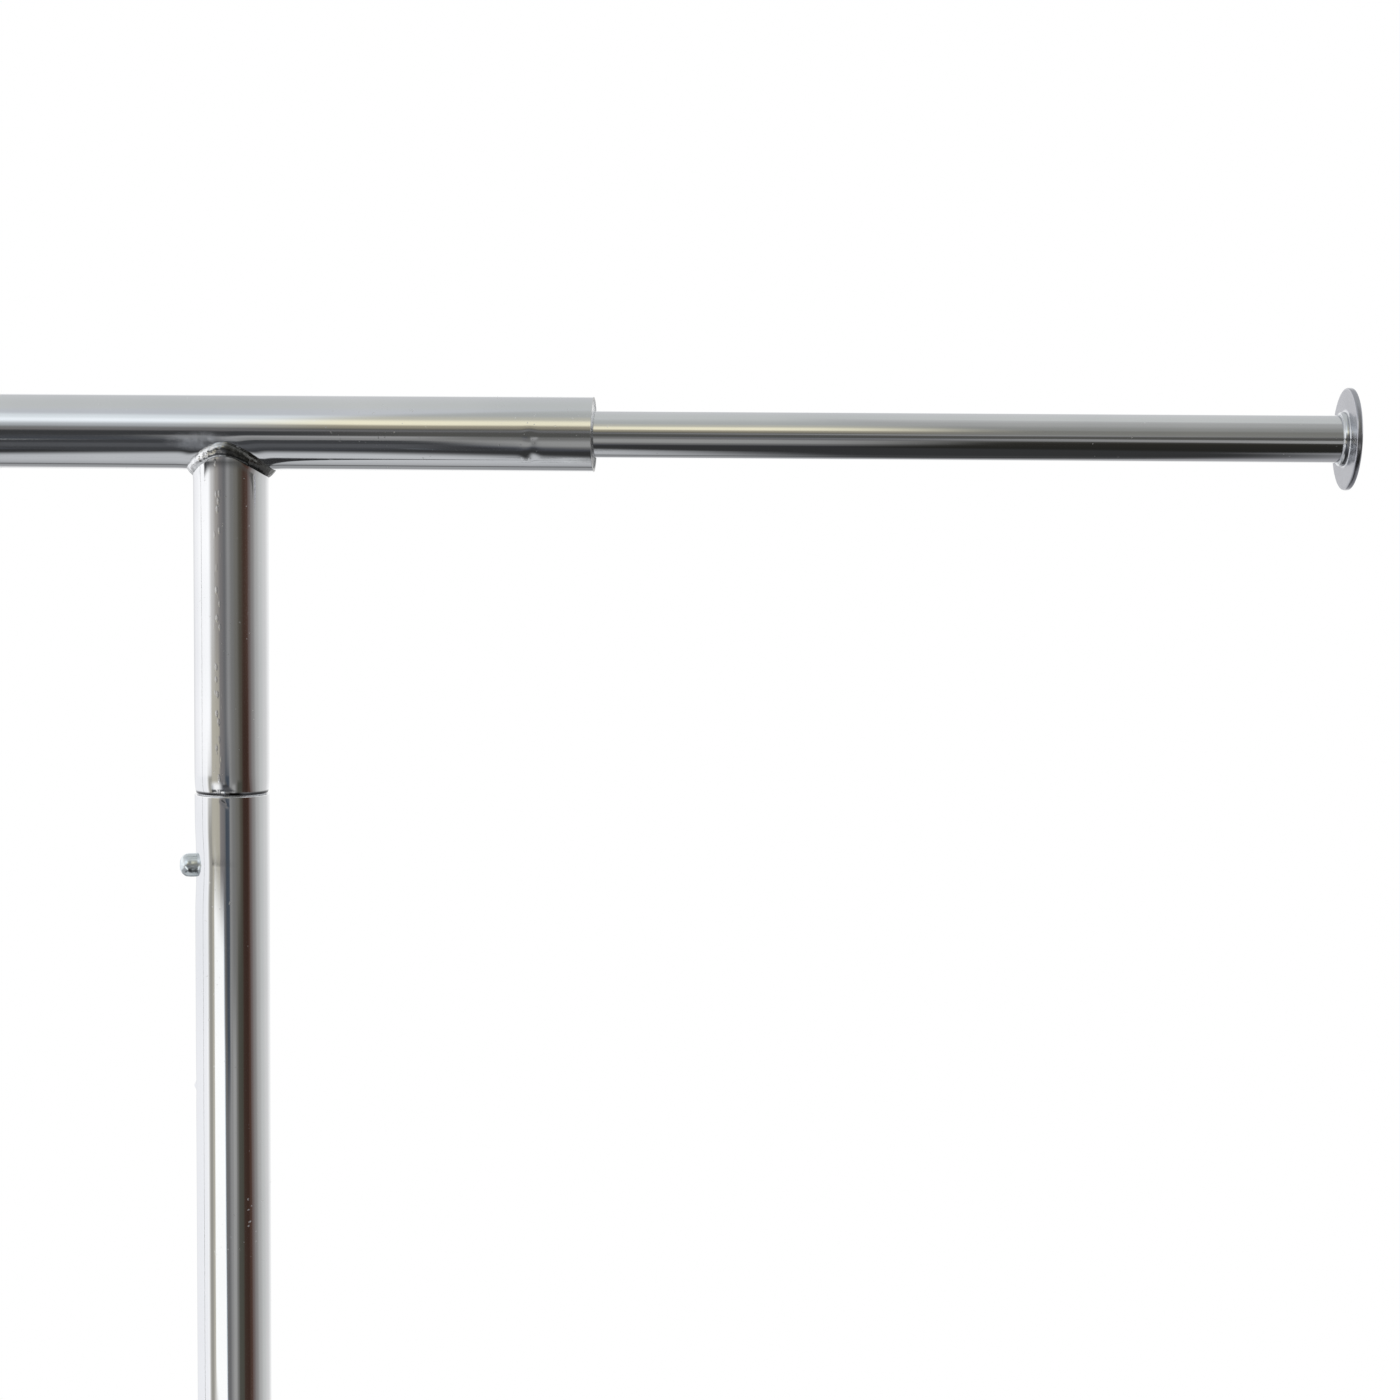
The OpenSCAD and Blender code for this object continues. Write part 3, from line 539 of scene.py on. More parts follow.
def angle_gap(a, b):
    return (a - b + math.pi) % (2 * math.pi) - math.pi


def hump(far, reach):
    """1 in the middle, and fading out over about this reach."""
    return np.exp(-((far / reach) ** 2))


def saddle_gap(points):
    """How far each point, in a tee's own frame, is from the middle line of its weld bead."""
    turn = np.radians(np.arange(0, 360, 3))
    r, z = bead_middle(turn)
    line = np.stack([r * np.cos(turn), r * np.sin(turn), z], axis=-1)
    return np.linalg.norm(points[..., None, :] - line, axis=-1).min(axis=-1)


def hang_rail():
    length = 2 * RAIL_END
    crimps = [CRIMP_FROM_END, length - CRIMP_FROM_END]
    tees = [RAIL_END - POST_X, RAIL_END + POST_X]
    # Rings stand closer together where the wall has marks
    stops = even(0.02, length - 0.02, 0.03)
    for at in crimps:
        stops += even(at - 0.014, at + 0.014, 0.0007)
    for at in tees:
        stops += even(at - 0.032, at + 0.032, 0.0008)
    # Round the rail's axis, its front is at -90 degrees and its underside at 0
    # Each crimp is two dings, one over the other: turn below the middle, depth, half-widths round and along
    dings = [(7.3, 0.00015, 0.0026, 0.0024), (40.5, 0.00016, 0.0030, 0.0026)]

    def shape(angle, z):
        moved = np.zeros_like(angle)
        for at in crimps:
            for low, deep, tall, wide in dings:
                for face in (-90, 90):
                    across = angle_gap(angle, math.radians(face + low)) * TUBE_R
                    moved -= deep * hump(z - at, wide) * hump(across, tall)
        # The plating builds up beside each weld
        for at in tees:
            near = np.abs(z - at) < 0.03
            skin = np.stack([z - at, TUBE_R * np.sin(angle), -TUBE_R * np.cos(angle)], axis=-1)[near]
            moved[near] += RAIL_RISE * hump(np.maximum(saddle_gap(skin) - 0.0026, 0), RAIL_RISE_REACH)
        return moved

    rows = tube_rows(length, TUBE_R, WALL, CUT_R, CUT_R, in_order(stops))
    loft("hang_rail_tube", "hang_rail", carry(ring_points(rows, 160, shape), along_x(-RAIL_END)))


def extension_rod(side):
    low, high = (v.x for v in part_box(f"rod_{side}"))
    rows = tube_rows(high - low, ROD_R, WALL, stops=even(0.02, high - low - 0.02, 0.02))
    loft(f"rod_tube_{side}", f"rod_{side}", carry(ring_points(rows, 128), along_x(low)))


def end_disk(side):
    """A stamped plate with eased rims, a shallow dished centre outside, and a weld ring round the rod."""
    sign = SIDES[side]
    centre, rim = 0.0001, 0.0007
    seat = ROD_R - 0.0004
    flat = DISK_R - rim - 0.0004
    rows = [(centre, 0.0), (seat, 0.0), (seat, -0.0027)]
    rows += arc(ROD_R + 0.0006, -0.0004, 172, 0, 16, RING_W, -RING_H)
    rows += [(ROD_R + 0.0018, -0.0001), (ROD_R + 0.0024, 0.0), (ROD_R + 0.0030, 0.0), (flat, 0.0)]
    rows += arc(DISK_R - rim, rim, -90, 0, 6, rim)
    rows += arc(DISK_R - rim, DISK_T - rim, 0, 90, 6, rim)
    rows += [(flat, DISK_T), (DISH_R, DISK_T), (DISH_R - 0.0006, DISK_T - 0.0001)]
    rows += [(DISH_R - 0.0016, DISK_T - 0.0005), (DISH_R - 0.0026, DISK_T - 0.0006)]
    rows += [(centre, DISK_T - 0.0006)]

    def shape(angle, z):
        bead = smooth_step(-z / 0.0012) * (z < -0.00015)
        slow, quick = 0.00010 * np.sin(3 * angle + 0.4), 0.00005 * np.sin(8 * angle + 1.0)
        return bead * (slow + quick * (1 + np.sin(5 * angle)))

    turn = Matrix.Translation((sign * (RAIL_END + ROD_REACH), 0, RAIL_Z))
    turn = turn @ Matrix.Rotation(sign * math.pi / 2, 4, "Y")
    loft(f"end_disk_plate_{side}", f"end_disk_{side}", carry(ring_points(np.array(rows), 288, shape), turn))


def tee_stub_points(length, turns=192, rows_up=60):
    """A stub under a crossing tube along X: its top edge follows the saddle, its lower edge is rolled in."""
    angle = np.arange(turns) * 2 * math.pi / turns

    def top(r):
        reach = np.sqrt(np.maximum(TUBE_R**2 - (r * np.sin(angle)) ** 2, 0))
        return -np.maximum(reach, TIP_CUT)

    def ring(r, z):
        return np.stack([r * np.cos(angle), r * np.sin(angle), z + 0 * angle], axis=-1)

    inner = TUBE_R - WALL
    rolled = TUBE_R - ROLL_DEEP
    low = -length + ROLL_L
    grid = [ring(inner, -length), ring(rolled - 0.0002, -length)]
    grid += [ring(r, z) for r, z in arc(rolled, low, -90, 0, 24, ROLL_DEEP, ROLL_L)]
    for row in range(1, rows_up + 1):
        # Rows stand closer together towards the weld, where the skin rises a hair
        share = 1 - (1 - row / rows_up) ** 1.7
        z = low + (top(TUBE_R) - low) * share
        rise = STUB_RISE * hump(np.maximum(top(TUBE_R) - z - 0.0034, 0), STUB_RISE_REACH)
        grid.append(ring(TUBE_R + rise, z))
    grid += [ring(inner, top(inner)), ring(inner, -length + 0.0004)]
    return np.array(grid)


def bead_middle(turn):
    """Radius and height of the weld bead's middle line at each turn round the stub."""
    tip = TIP_CUT + BEAD_H
    height = np.sqrt((TUBE_R**2 - tip**2) * np.cos(turn) ** 2 + tip**2)
    return TUBE_R - BEAD_SUNK * np.sin(turn) ** 2, -height


def weld_bead_points(seed, steps=480, sides=44):
    """A hand-laid bead round the saddle: a flat-faced fillet at the stub's sides, a low band at its tips."""
    rng = np.random.default_rng(seed)
    # Turn goes round the stub, and roll round the bead's own section
    once = np.arange(steps) * 2 * math.pi / steps
    turn, roll = np.meshgrid(once, np.arange(sides) * 2 * math.pi / sides, indexing="ij")
    mid_r, mid_z = bead_middle(turn)
    least = BEAD_SUNK + BEAD_H
    reach = least + (BEAD_W / 2 - least) * np.cos(turn) ** 2
    half = BEAD_W / 2 * (1 + 0.1 * np.cos(turn) ** 2)
    power = 2 / (1.2 + 1.4 * np.sin(turn) ** 2)
    line = np.stack([TUBE_R * np.cos(once), TUBE_R * np.sin(once), mid_z[:, 0]], axis=-1)
    step = np.linalg.norm(np.roll(line, -1, axis=0) - line, axis=1)
    along = np.concatenate([[0], np.cumsum(step)[:-1]])[:, None] / float(step.sum()) + 0 * roll

    def waves(counts, sizes):
        starts = rng.uniform(0, 2 * math.pi, len(counts))
        return sum(w * np.sin(2 * math.pi * n * along + p) for n, w, p in zip(counts, sizes, starts))

    # Overlapping ripples, clear in some stretches and smoothed over in others
    phase = 26 * along + 0.05 * np.sin(roll / 2 + math.pi / 4) ** 2 + waves((3, 5, 8), (0.4, 0.3, 0.2))
    part = phase % 1.0
    ripple = np.where(part < 0.7, part / 0.7, (1 - part) / 0.3)
    clear = smooth_step(0.5 + waves((2, 3, 5), (0.5, 0.4, 0.3)))
    out = np.clip(np.cos(roll - 0.3), 0, 1) ** 0.5
    size = 0.97 + waves((3, 7, 11), (0.04, 0.03, 0.02))
    grow = size + (0.02 + 0.05 * clear) * (ripple - 0.5) * out
    r = mid_r + reach * np.sign(np.cos(roll)) * np.abs(np.cos(roll)) ** power * grow
    z = mid_z + half * np.sign(np.sin(roll)) * np.abs(np.sin(roll)) ** power * grow
    # What would lie inside either tube is drawn back to just under its skin
    under = TUBE_R - 0.0008
    r = np.maximum(r, under)
    x, y = r * np.cos(turn), r * np.sin(turn)
    z = np.where(np.hypot(y, z) < under, -np.sqrt(np.maximum(under**2 - y**2, 0.0)), z)
    return np.stack([x, y, z], axis=-1)


def tee(side):
    """The stub and bead under the rail, and the same pair on the foot, upside down and across."""
    x = SIDES[side] * POST_X
    rail = Matrix.Translation((x, 0, RAIL_Z))
    foot = Matrix.Translation((x, 0, FOOT_Z))
    foot = foot @ Matrix.Rotation(math.pi / 2, 4, "Z") @ Matrix.Rotation(math.pi, 4, "X")
    for kind, length, place in (("tee", STUB_L, rail), ("foot", FOOT_STUB_L, foot)):
        stub = carry(tee_stub_points(length), place)
        bead = carry(weld_bead_points(BEAD_SEEDS[f"{kind}_{side}"]), place)
        loft(f"{kind}_stub_tube_{side}", f"{kind}_stub_{side}", stub, sharp=50)
        loft(f"{kind}_weld_bead_{side}", f"{kind}_weld_{side}", bead, sharp=180)


def drill(piece, holes):
    """Drills round holes, each from a point, in a direction, with a radius and a length."""
    for at, way, r, length in holes:
        rows = np.array([(AXIS_R, 0.0), (r, 0.0), (r, length), (AXIS_R, length)])
        turn = Matrix.Translation(at) @ Vector(way).to_track_quat("Z", "Y").to_matrix().to_4x4()
        faces = grid_faces(len(rows), HOLE_TURNS, closed=False)
        last = HOLE_TURNS * (len(rows) - 1)
        faces += [tuple(range(HOLE_TURNS))[::-1], tuple(range(last, last + HOLE_TURNS))]
        mesh = closed_mesh("bit", carry(ring_points(rows, HOLE_TURNS), turn), faces)
        bit = add_object("bit", mesh)
        tool = piece.modifiers.new("hole", "BOOLEAN")
        tool.operation = "DIFFERENCE"
        tool.solver = "EXACT"
        tool.object = bit
        shaped = bpy.data.meshes.new_from_object(piece.evaluated_get(bpy.context.evaluated_depsgraph_get()))
        piece.modifiers.clear()
        shaped.name = piece.name
        piece.data = shaped
        bpy.data.objects.remove(bit)
        bpy.data.meshes.remove(mesh)
    shade(piece.data, 35.0)


def post(side):
    """A post with its button hole, the pip below it, and holes for the clamp knob and the stretcher bolt."""
    sign = SIDES[side]
    x = sign * POST_X
    # The button looks towards the rack's middle and a little to the front
    button_a = math.atan2(-math.sin(BUTTON_TURN), -sign * math.cos(BUTTON_TURN))
    button_up = BUTTON_Z - POST_Z
    pip_up = button_up - PIP_BELOW
    stops = even(0.03, POST_L - 0.09, 0.05)
    stops += even(button_up - 0.024, button_up + 0.024, 0.0009)
    stops += even(pip_up - 0.012, pip_up + 0.012, 0.0006)
    stops += even(POST_L - 0.0075, POST_L - 0.0014, 0.0003)

    def shape(angle, z):
        across = angle_gap(angle, button_a) * TUBE_R
        # Punching the hole has drawn the wall in round it
        far = np.hypot(across, (z - button_up) * 0.85)
        moved = -HOLE_DENT * hump(np.maximum(far - BUTTON_R, 0), HOLE_DENT_REACH)
        # The pip stands in a shallow hollow
        far = np.hypot(across, z - pip_up)
        moved = moved - PIP_DENT * hump(far, PIP_DENT_REACH) + PIP_H * (1 - smooth_step(far / PIP_R))
        # A nick under the top edge, on the front
        across = angle_gap(angle, math.radians(-90 + sign * 0.5)) * TUBE_R * sign
        up = z - (POST_L - 0.0026)
        along, aside = across * 0.7 - up * 0.7, across * 0.7 + up * 0.7
        return moved - NICK_DEEP * hump(along, NICK_L) * hump(aside, NICK_W)

    rows = tube_rows(POST_L, TUBE_R, WALL, high=LIP_R, stops=in_order(stops))
    points = carry(ring_points(rows, 200, shape), Matrix.Translation((x, 0, POST_Z)))
    piece = loft(f"post_tube_{side}", f"post_{side}", points)
    button_way = (math.cos(button_a), math.sin(button_a), 0)
    outwards = (sign, 0, 0)
    through = 0.03
    drill(
        piece,
        [
            ((x, 0, BUTTON_Z), button_way, BUTTON_R + HOLE_PLAY, through),
            ((x, 0, KNOB_Z), outwards, KNOB_HOLE_R, through),
            ((x - sign * through, 0, STRETCHER_Z), outwards, BOLT_HOLE_R, 2 * through),
        ],
    )


def snap_button(side):
    """A zinc button: a flange inside the sleeve, a short shank and a worn dome."""
    sign = SIDES[side]
    flange_x, flange_r, flange_t = 0.01081, BUTTON_R + 0.0014, 0.001
    ease = 0.0002
    dome = BUTTON_R * 0.8
    top = TUBE_R + BUTTON_OUT
    low = flange_x - flange_t
    rows = [(AXIS_R, low), (flange_r - ease, low), (flange_r, low + ease)]
    rows += [(flange_r, flange_x - ease), (flange_r - ease, flange_x), (BUTTON_R, flange_x)]
    rows += [(BUTTON_R, z) for z in even(flange_x + 0.0004, top - dome - ease, 0.0008)]
    for turn in np.radians(np.linspace(0, 89.8, 24)):
        rows.append((BUTTON_R * math.cos(turn) ** 0.8, top - dome + dome * math.sin(turn)))

    def shape(angle, z):
        # Hammered flats from setting
        high = smooth_step((z - flange_x - 0.004) / 0.003)
        flats = 0.00012 * np.abs(np.sin(2.5 * angle + 0.7))
        return -high * (flats + 0.00005 * np.sin(9 * angle) * np.sin(z * 2600))

    turn = Matrix.Translation((sign * POST_X, 0, BUTTON_Z)) @ Matrix.Rotation(sign * BUTTON_TURN, 4, "Z")
    turn = turn @ Matrix.Rotation(-sign * math.pi / 2, 4, "Y")
    points = carry(ring_points(np.array(rows), 96, shape), turn)
    loft(f"snap_button_skin_{side}", f"snap_button_{side}", points, sharp=40)


def snap_spring(side):
    """The strip behind a snap button, a copy of its CAD node's mesh. On the rack its near leg goes in with
    the button and its far leg stays put.
    """
    node = nodes[f"snap_spring_{side}"]
    piece = add_object(f"snap_spring_strip_{side}", node.data.copy())
    piece.matrix_world = node.matrix_world
    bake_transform(piece)
    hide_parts(f"snap_spring_{side}")


def foot_tube(side):
    rows = tube_rows(FOOT_L, TUBE_R, WALL, stops=even(0.02, FOOT_L - 0.02, 0.03))
    turn = Matrix.Translation((SIDES[side] * POST_X, -FOOT_L / 2, FOOT_Z))
    turn = turn @ Matrix.Rotation(-math.pi / 2, 4, "X")
    loft(f"foot_tube_skin_{side}", f"foot_tube_{side}", carry(ring_points(rows), turn))


hang_rail()
for side in SIDES:
    extension_rod(side)
    end_disk(side)
    tee(side)
    post(side)
    snap_button(side)
    snap_spring(side)
    foot_tube(side)


# Floor, studio, lamps and camera


def floor():
    """A pale floor that keeps the rack's soft shadow and runs out into the white behind it."""
    size = 6.0
    mesh = bpy.data.meshes.new("floor")
    corners = [(-size, -size, 0), (size, -size, 0), (size, size, 0), (-size, size, 0)]
    mesh.from_pydata(corners, [], [(0, 1, 2, 3)])
    s = Shader("floor_paper")
    grain = s.noise(160)
    colour = s.mix(s.span(grain, 0.3, 0.7), (0.83, 0.83, 0.835), (0.80, 0.80, 0.81))
    s.finish(colour, 0.9, s.bump(grain, 0.0002))
    # Far from the rack the camera sees plain white
    far = s.add("ShaderNodeVectorMath", operation="LENGTH")
    s.link(s.place((0.62, 1.0, 1.0)), far.inputs[0])
    seen = s.add("ShaderNodeLightPath").outputs["Is Camera Ray"]
    white = s.add("ShaderNodeEmission", Color=(1, 1, 1), Strength=1.0)
    fade = s.times(s.soft(far.outputs["Value"], 0.75, 1.75), seen)
    s.link(s.between(fade, s.bsdf, white).outputs[0], s.out.inputs["Surface"])
    mesh.materials.append(s.mat)
    piece = add_object("floor", mesh)
    piece.visible_glossy = False


class Sky(Nodes):
    """The studio as the metal sees it: soft zones by height and by bearing, white behind the rack."""

    def __init__(self):
        world = bpy.data.worlds.new("studio")
        bpy.context.scene.world = world
        world.use_nodes = True
        self.tree = world.node_tree
        self.tree.nodes.clear()
        way = self.add("ShaderNodeTexCoord").outputs["Generated"]
        x, y, z = self.add("ShaderNodeSeparateXYZ", Vector=way).outputs
        # Bearing in degrees from the side the camera stands on, positive to the right
        self.bearing = self.times(self.math("ARCTAN2", x, self.times(y, -1.0)), 180 / math.pi)
        self.height = self.times(self.math("ARCSINE", z), 180 / math.pi)

    def ramp(self, value, reach, stops):
        """A colour for each value from -reach to reach, eased between stops. A stop may be a plain grey."""
        node = self.add("ShaderNodeValToRGB", Fac=self.span(value, -reach, reach))
        band = node.color_ramp
        band.interpolation = "EASE"
        while len(band.elements) > 1:
            band.elements.remove(band.elements[-1])
        for n, (at, colour) in enumerate(stops):
            place = (at + reach) / (2 * reach)
            element = band.elements[0] if n == 0 else band.elements.new(place)
            element.position = place
            element.color = (*(colour if isinstance(colour, tuple) else (colour,) * 3), 1)
        return node.outputs["Color"]

    def window(self, value, a, b, soft):
        """1 between a and b degrees, falling to 0 over the soft width outside."""
        return self.times(self.soft(value, a - soft, a), self.soft(value, b + soft, b))


def surroundings(sky):
    """The studio's zones, as bright, dim, pale and dark stretches with soft edges."""
    b, h = sky.bearing, sky.height

    def patch(view, across, up, colour, share=1.0):
        return sky.mix(sky.times(across, up, share), view, colour)

    # All round: a pale floor below, a white sweep at eye height, a grey ceiling
    ceiling = (0.555, 0.573, 0.565)
    room = [(-90, (0.42, 0.43, 0.44)), (-60, (0.36, 0.36, 0.38)), (-34, (0.40, 0.40, 0.41))]
    room += [(-14, (1.0, 1.0, 1.02)), (20, (1.04, 1.04, 1.04)), (36, (0.60, 0.61, 0.62)), (90, ceiling)]
    # In front, on the left: a bright lamp over a slate-grey dark
    left = [(-66, (0.09, 0.095, 0.105)), (-51, (0.065, 0.07, 0.088)), (-39, (0.12, 0.13, 0.155))]
    left += [(-27, (0.06, 0.065, 0.075)), (-4, 0.045), (1, 0.06), (8, 0.20), (17, (0.45, 0.47, 0.49))]
    left += [(31, (0.97, 1.02, 1.06)), (42, (0.78, 0.83, 0.86)), (54, (0.56, 0.58, 0.61)), (90, ceiling)]
    # In the middle: a cream window over a grey bench
    middle = [(-66, (0.035, 0.037, 0.04)), (-56, (0.04, 0.04, 0.045)), (-48, 0.15)]
    middle += [(-38, (0.31, 0.31, 0.305)), (-29, (0.31, 0.31, 0.305)), (-18, (0.17, 0.17, 0.165))]
    middle += [(-5, (0.085, 0.085, 0.08)), (5, (0.10, 0.10, 0.09)), (17, (0.33, 0.30, 0.23))]
    middle += [(25, (0.92, 0.87, 0.66)), (30, (0.92, 0.87, 0.66)), (42, (0.52, 0.51, 0.44))]
    middle += [(54, (0.44, 0.455, 0.445)), (90, ceiling)]
    # On the right: a dim corner
    right = [(-60, (0.020, 0.020, 0.018)), (-36, (0.024, 0.023, 0.020)), (-24, (0.055, 0.054, 0.048))]
    right += [(-12, (0.155, 0.155, 0.14)), (0, (0.22, 0.22, 0.205)), (22, (0.20, 0.20, 0.185))]
    right += [(34, (0.27, 0.275, 0.265)), (60, (0.38, 0.385, 0.38)), (90, (0.52, 0.53, 0.53))]
    slant = sky.plus(b, sky.times(h, 0.08))
    front = sky.mix(sky.soft(slant, -15.5, -10.5), sky.ramp(h, 90, left), sky.ramp(h, 90, middle))
    # Between the two, a pale ledge below eye height
    ledge = [(-60, (0.055, 0.058, 0.06)), (-45, (0.034, 0.034, 0.036)), (-33, (0.045, 0.046, 0.048))]
    ledge += [(-23, 0.24), (-14, 0.33), (-5, (0.075, 0.077, 0.08)), (3, (0.04, 0.04, 0.042))]
    ledge += [(12, 0.10), (90, 0.10)]
    leaning = sky.minus(b, sky.times(h, 0.05))
    front = patch(front, sky.window(leaning, -14, -10, 3), sky.window(h, -55, 4, 6), sky.ramp(h, 90, ledge))
    front = sky.mix(sky.soft(b, 0, 7), front, sky.ramp(h, 90, right))
    view = sky.mix(sky.window(b, -34, 34, 24), sky.ramp(h, 90, room), front)

    # At eye height the walls differ by bearing, and lower down they lean
    turned = sky.plus(b, sky.times(sky.math("MINIMUM", sky.plus(h, 2.0), 0.0), 0.5))
    walls = [(-180, 1.0), (-170, 0.95), (-157, (0.56, 0.57, 0.58)), (-145, (0.84, 0.84, 0.86))]
    walls += [(-120, (0.97, 0.97, 0.99)), (-92, (1.08, 1.08, 1.09)), (-62, (1.10, 1.10, 1.11))]
    walls += [(-47, (0.58, 0.57, 0.56)), (-33, (0.34, 0.32, 0.30)), (-20, (0.20, 0.19, 0.19))]
    walls += [(-8, (0.15, 0.15, 0.155)), (3, 0.28), (15, (0.19, 0.19, 0.185)), (27, (0.16, 0.155, 0.14))]
    walls += [(40, (0.08, 0.07, 0.055)), (52, (0.06, 0.036, 0.027)), (62, (0.08, 0.045, 0.035))]
    walls += [(68, (0.15, 0.12, 0.115)), (79, (0.25, 0.24, 0.235)), (94, (0.43, 0.43, 0.425))]
    walls += [(111, (0.56, 0.57, 0.565)), (131, 0.66), (165, 0.92), (180, 1.0)]
    view = sky.mix(sky.window(h, -21, 3, 6), view, sky.ramp(turned, 180, walls))

    # Low on the left: a dimmer wall, and a curtain with its fold
    below = sky.window(h, -21, -7, 3)
    view = patch(view, sky.window(b, -150, -76, 8), below, (0.90, 0.91, 0.94), 0.8)
    view = patch(view, sky.window(b, -60, -54, 13), below, (0.29, 0.28, 0.245), 0.95)
    view = patch(view, sky.window(b, -49, -28, 5), sky.window(h, -19, -4, 2.5), (0.47, 0.445, 0.37), 0.9)
    # Right of it a navy screen, a pale door frame and a dark cupboard with a brown side
    view = patch(view, sky.window(b, -5, 3, 4.5), sky.window(h, -12, -6.5, 2.5), (0.045, 0.062, 0.085), 0.9)
    view = patch(view, sky.window(b, 16, 21, 5), sky.window(h, -24, -13, 3), (0.36, 0.36, 0.355), 0.85)
    view = patch(view, sky.window(b, 33, 42, 7), sky.window(h, -22, -11, 4), (0.055, 0.056, 0.045), 0.8)
    view = patch(view, sky.window(b, 48, 61, 5), sky.window(h, -22, -5, 4), (0.042, 0.022, 0.017), 0.8)
    # Just below eye height, left of the middle, the front comes back
    return patch(view, sky.window(b, -24, -5, 3), sky.window(h, -34, -11.5, 4), front)


def studio():
    """Metal sees the studio's zones, matt surfaces an even soft light, and the camera white."""
    sky = Sky()
    path = sky.add("ShaderNodeLightPath").outputs
    even_light = sky.add("ShaderNodeBackground", Color=(0.93, 0.95, 1.0), Strength=0.62)
    zones = sky.add("ShaderNodeBackground", Color=surroundings(sky))
    white = sky.add("ShaderNodeBackground", Color=(1, 1, 1))
    mirrored = sky.math("MAXIMUM", path["Is Glossy Ray"], path["Is Transmission Ray"])
    shown = sky.between(path["Is Camera Ray"], sky.between(mirrored, even_light, zones), white)
    sky.add("ShaderNodeOutputWorld", Surface=shown.outputs[0])


class Card(Shader):
    """A thin piece of the studio that only the metal sees, with soft edges. Its mesh is rows of points."""

    def __init__(self, name, rows):
        super().__init__(name)
        self.tree.nodes.remove(self.bsdf)
        mesh = bpy.data.meshes.new(name)
        wide = len(rows[0])
        quads = [(n, n + 1, n + wide + 1, n + wide) for n in range(wide * (len(rows) - 1)) if (n + 1) % wide]
        mesh.from_pydata([point for row in rows for point in row], [], quads)
        mesh.materials.append(self.mat)
        piece = add_object(name, mesh)
        piece.visible_camera = False
        piece.visible_diffuse = False
        piece.visible_shadow = False

    def shine(self, colour, cover):
        """The card glows in this colour where it covers, and is clear elsewhere."""
        clear = self.add("ShaderNodeBsdfTransparent")
        glow = self.add("ShaderNodeEmission", Color=colour)
        self.link(self.between(cover, clear, glow).outputs[0], self.out.inputs["Surface"])


def upright(y, x0, x1, z0, z1):
    return [[(x0, y, z0), (x1, y, z0)], [(x0, y, z1), (x1, y, z1)]]


def bent(away, z, start, end, steps):
    """A row of points round the post's axis, from one turn to another in degrees, 0 being in front."""
    turns = np.radians(np.linspace(start, end, steps))
    return [(POST_X + away * math.sin(t), -away * math.cos(t), z) for t in turns]


def flag():
    """A dark strip close in front of the rail, over the post's top."""
    s = Card("flag", upright(-TUBE_R - 0.045, 0.38, 1.30, RAIL_Z - 0.027, RAIL_Z + 0.013))
    colour = s.mix(s.soft(s.x, 0.60, 0.70), (0.045, 0.046, 0.048), (0.085, 0.085, 0.08))
    up = s.minus(s.z, RAIL_Z)
    across = s.times(s.soft(s.x, 0.40, 0.44), s.soft(s.x, 1.30, 1.10))
    s.shine(colour, s.times(across, s.soft(up, 0.004, -0.003), s.soft(up, -0.015, -0.010)))


def sheet():
    """A white sheet in front of the post, its right edge blue and leaning a little to the right."""
    left, right, low, high = 0.05, 0.62, 0.95, 1.42
    s = Card("sheet", upright(-0.50, left, right, low, high))
    # Below its bend the edge leans
    edge, bend, slope = 0.485, 1.383, 0.187
    lean = s.math("MAXIMUM", s.times(s.minus(bend, s.z), slope), 0.0)
    out = s.minus(s.minus(s.x, edge), lean)
    body = s.times(s.soft(s.z, high - 0.015, high - 0.08), s.soft(s.z, low + 0.02, low + 0.07))
    body = s.times(body, s.soft(s.x, left + 0.04, left + 0.10))
    colour = s.mix(s.soft(out, 0.015, -0.015), (0.30, 0.42, 0.55), (1.08, 1.09, 1.08))
    s.shine(colour, s.times(body, s.soft(out, 0.02, 0.0)))


def shelf():
    """A dark shelf that hides the sheet from the rail. It lies edge-on to what the post reflects."""
    top, slope = SEAM_Z - 0.029, 0.131
    s = Card("shelf", [bent(away, top - slope * away, -52, 34, 44) for away in (0.15, 0.28, 0.41, 0.53)])
    band = s.times(s.soft(s.y, -0.33, -0.27), s.soft(s.y, -0.15, -0.21))
    colour = s.mix(band, (0.052, 0.054, 0.058), (0.087, 0.090, 0.097))
    s.shine(colour, s.soft(s.minus(s.x, s.times(s.y, 0.18)), 0.725, 0.665))


def glint():
    """A small white strip close to the rolled edge over the seam, which shows in the roll alone."""
    s = Card("glint", [bent(TUBE_R + 0.0145, z, -48, 0, 24) for z in (SEAM_Z - 0.0030, SEAM_Z + 0.0050)])
    x, z = s.minus(s.x, POST_X), s.minus(s.z, SEAM_Z)
    across = s.times(s.soft(x, -0.0210, -0.0135), s.soft(x, -0.0030, -0.0105))
    up = s.times(s.soft(z, -0.0026, -0.0010), s.soft(z, 0.0048, 0.0008))
    s.shine(s.mix(across, (0.90, 0.92, 0.95), (1.0, 1.0, 1.0)), s.times(across, up))


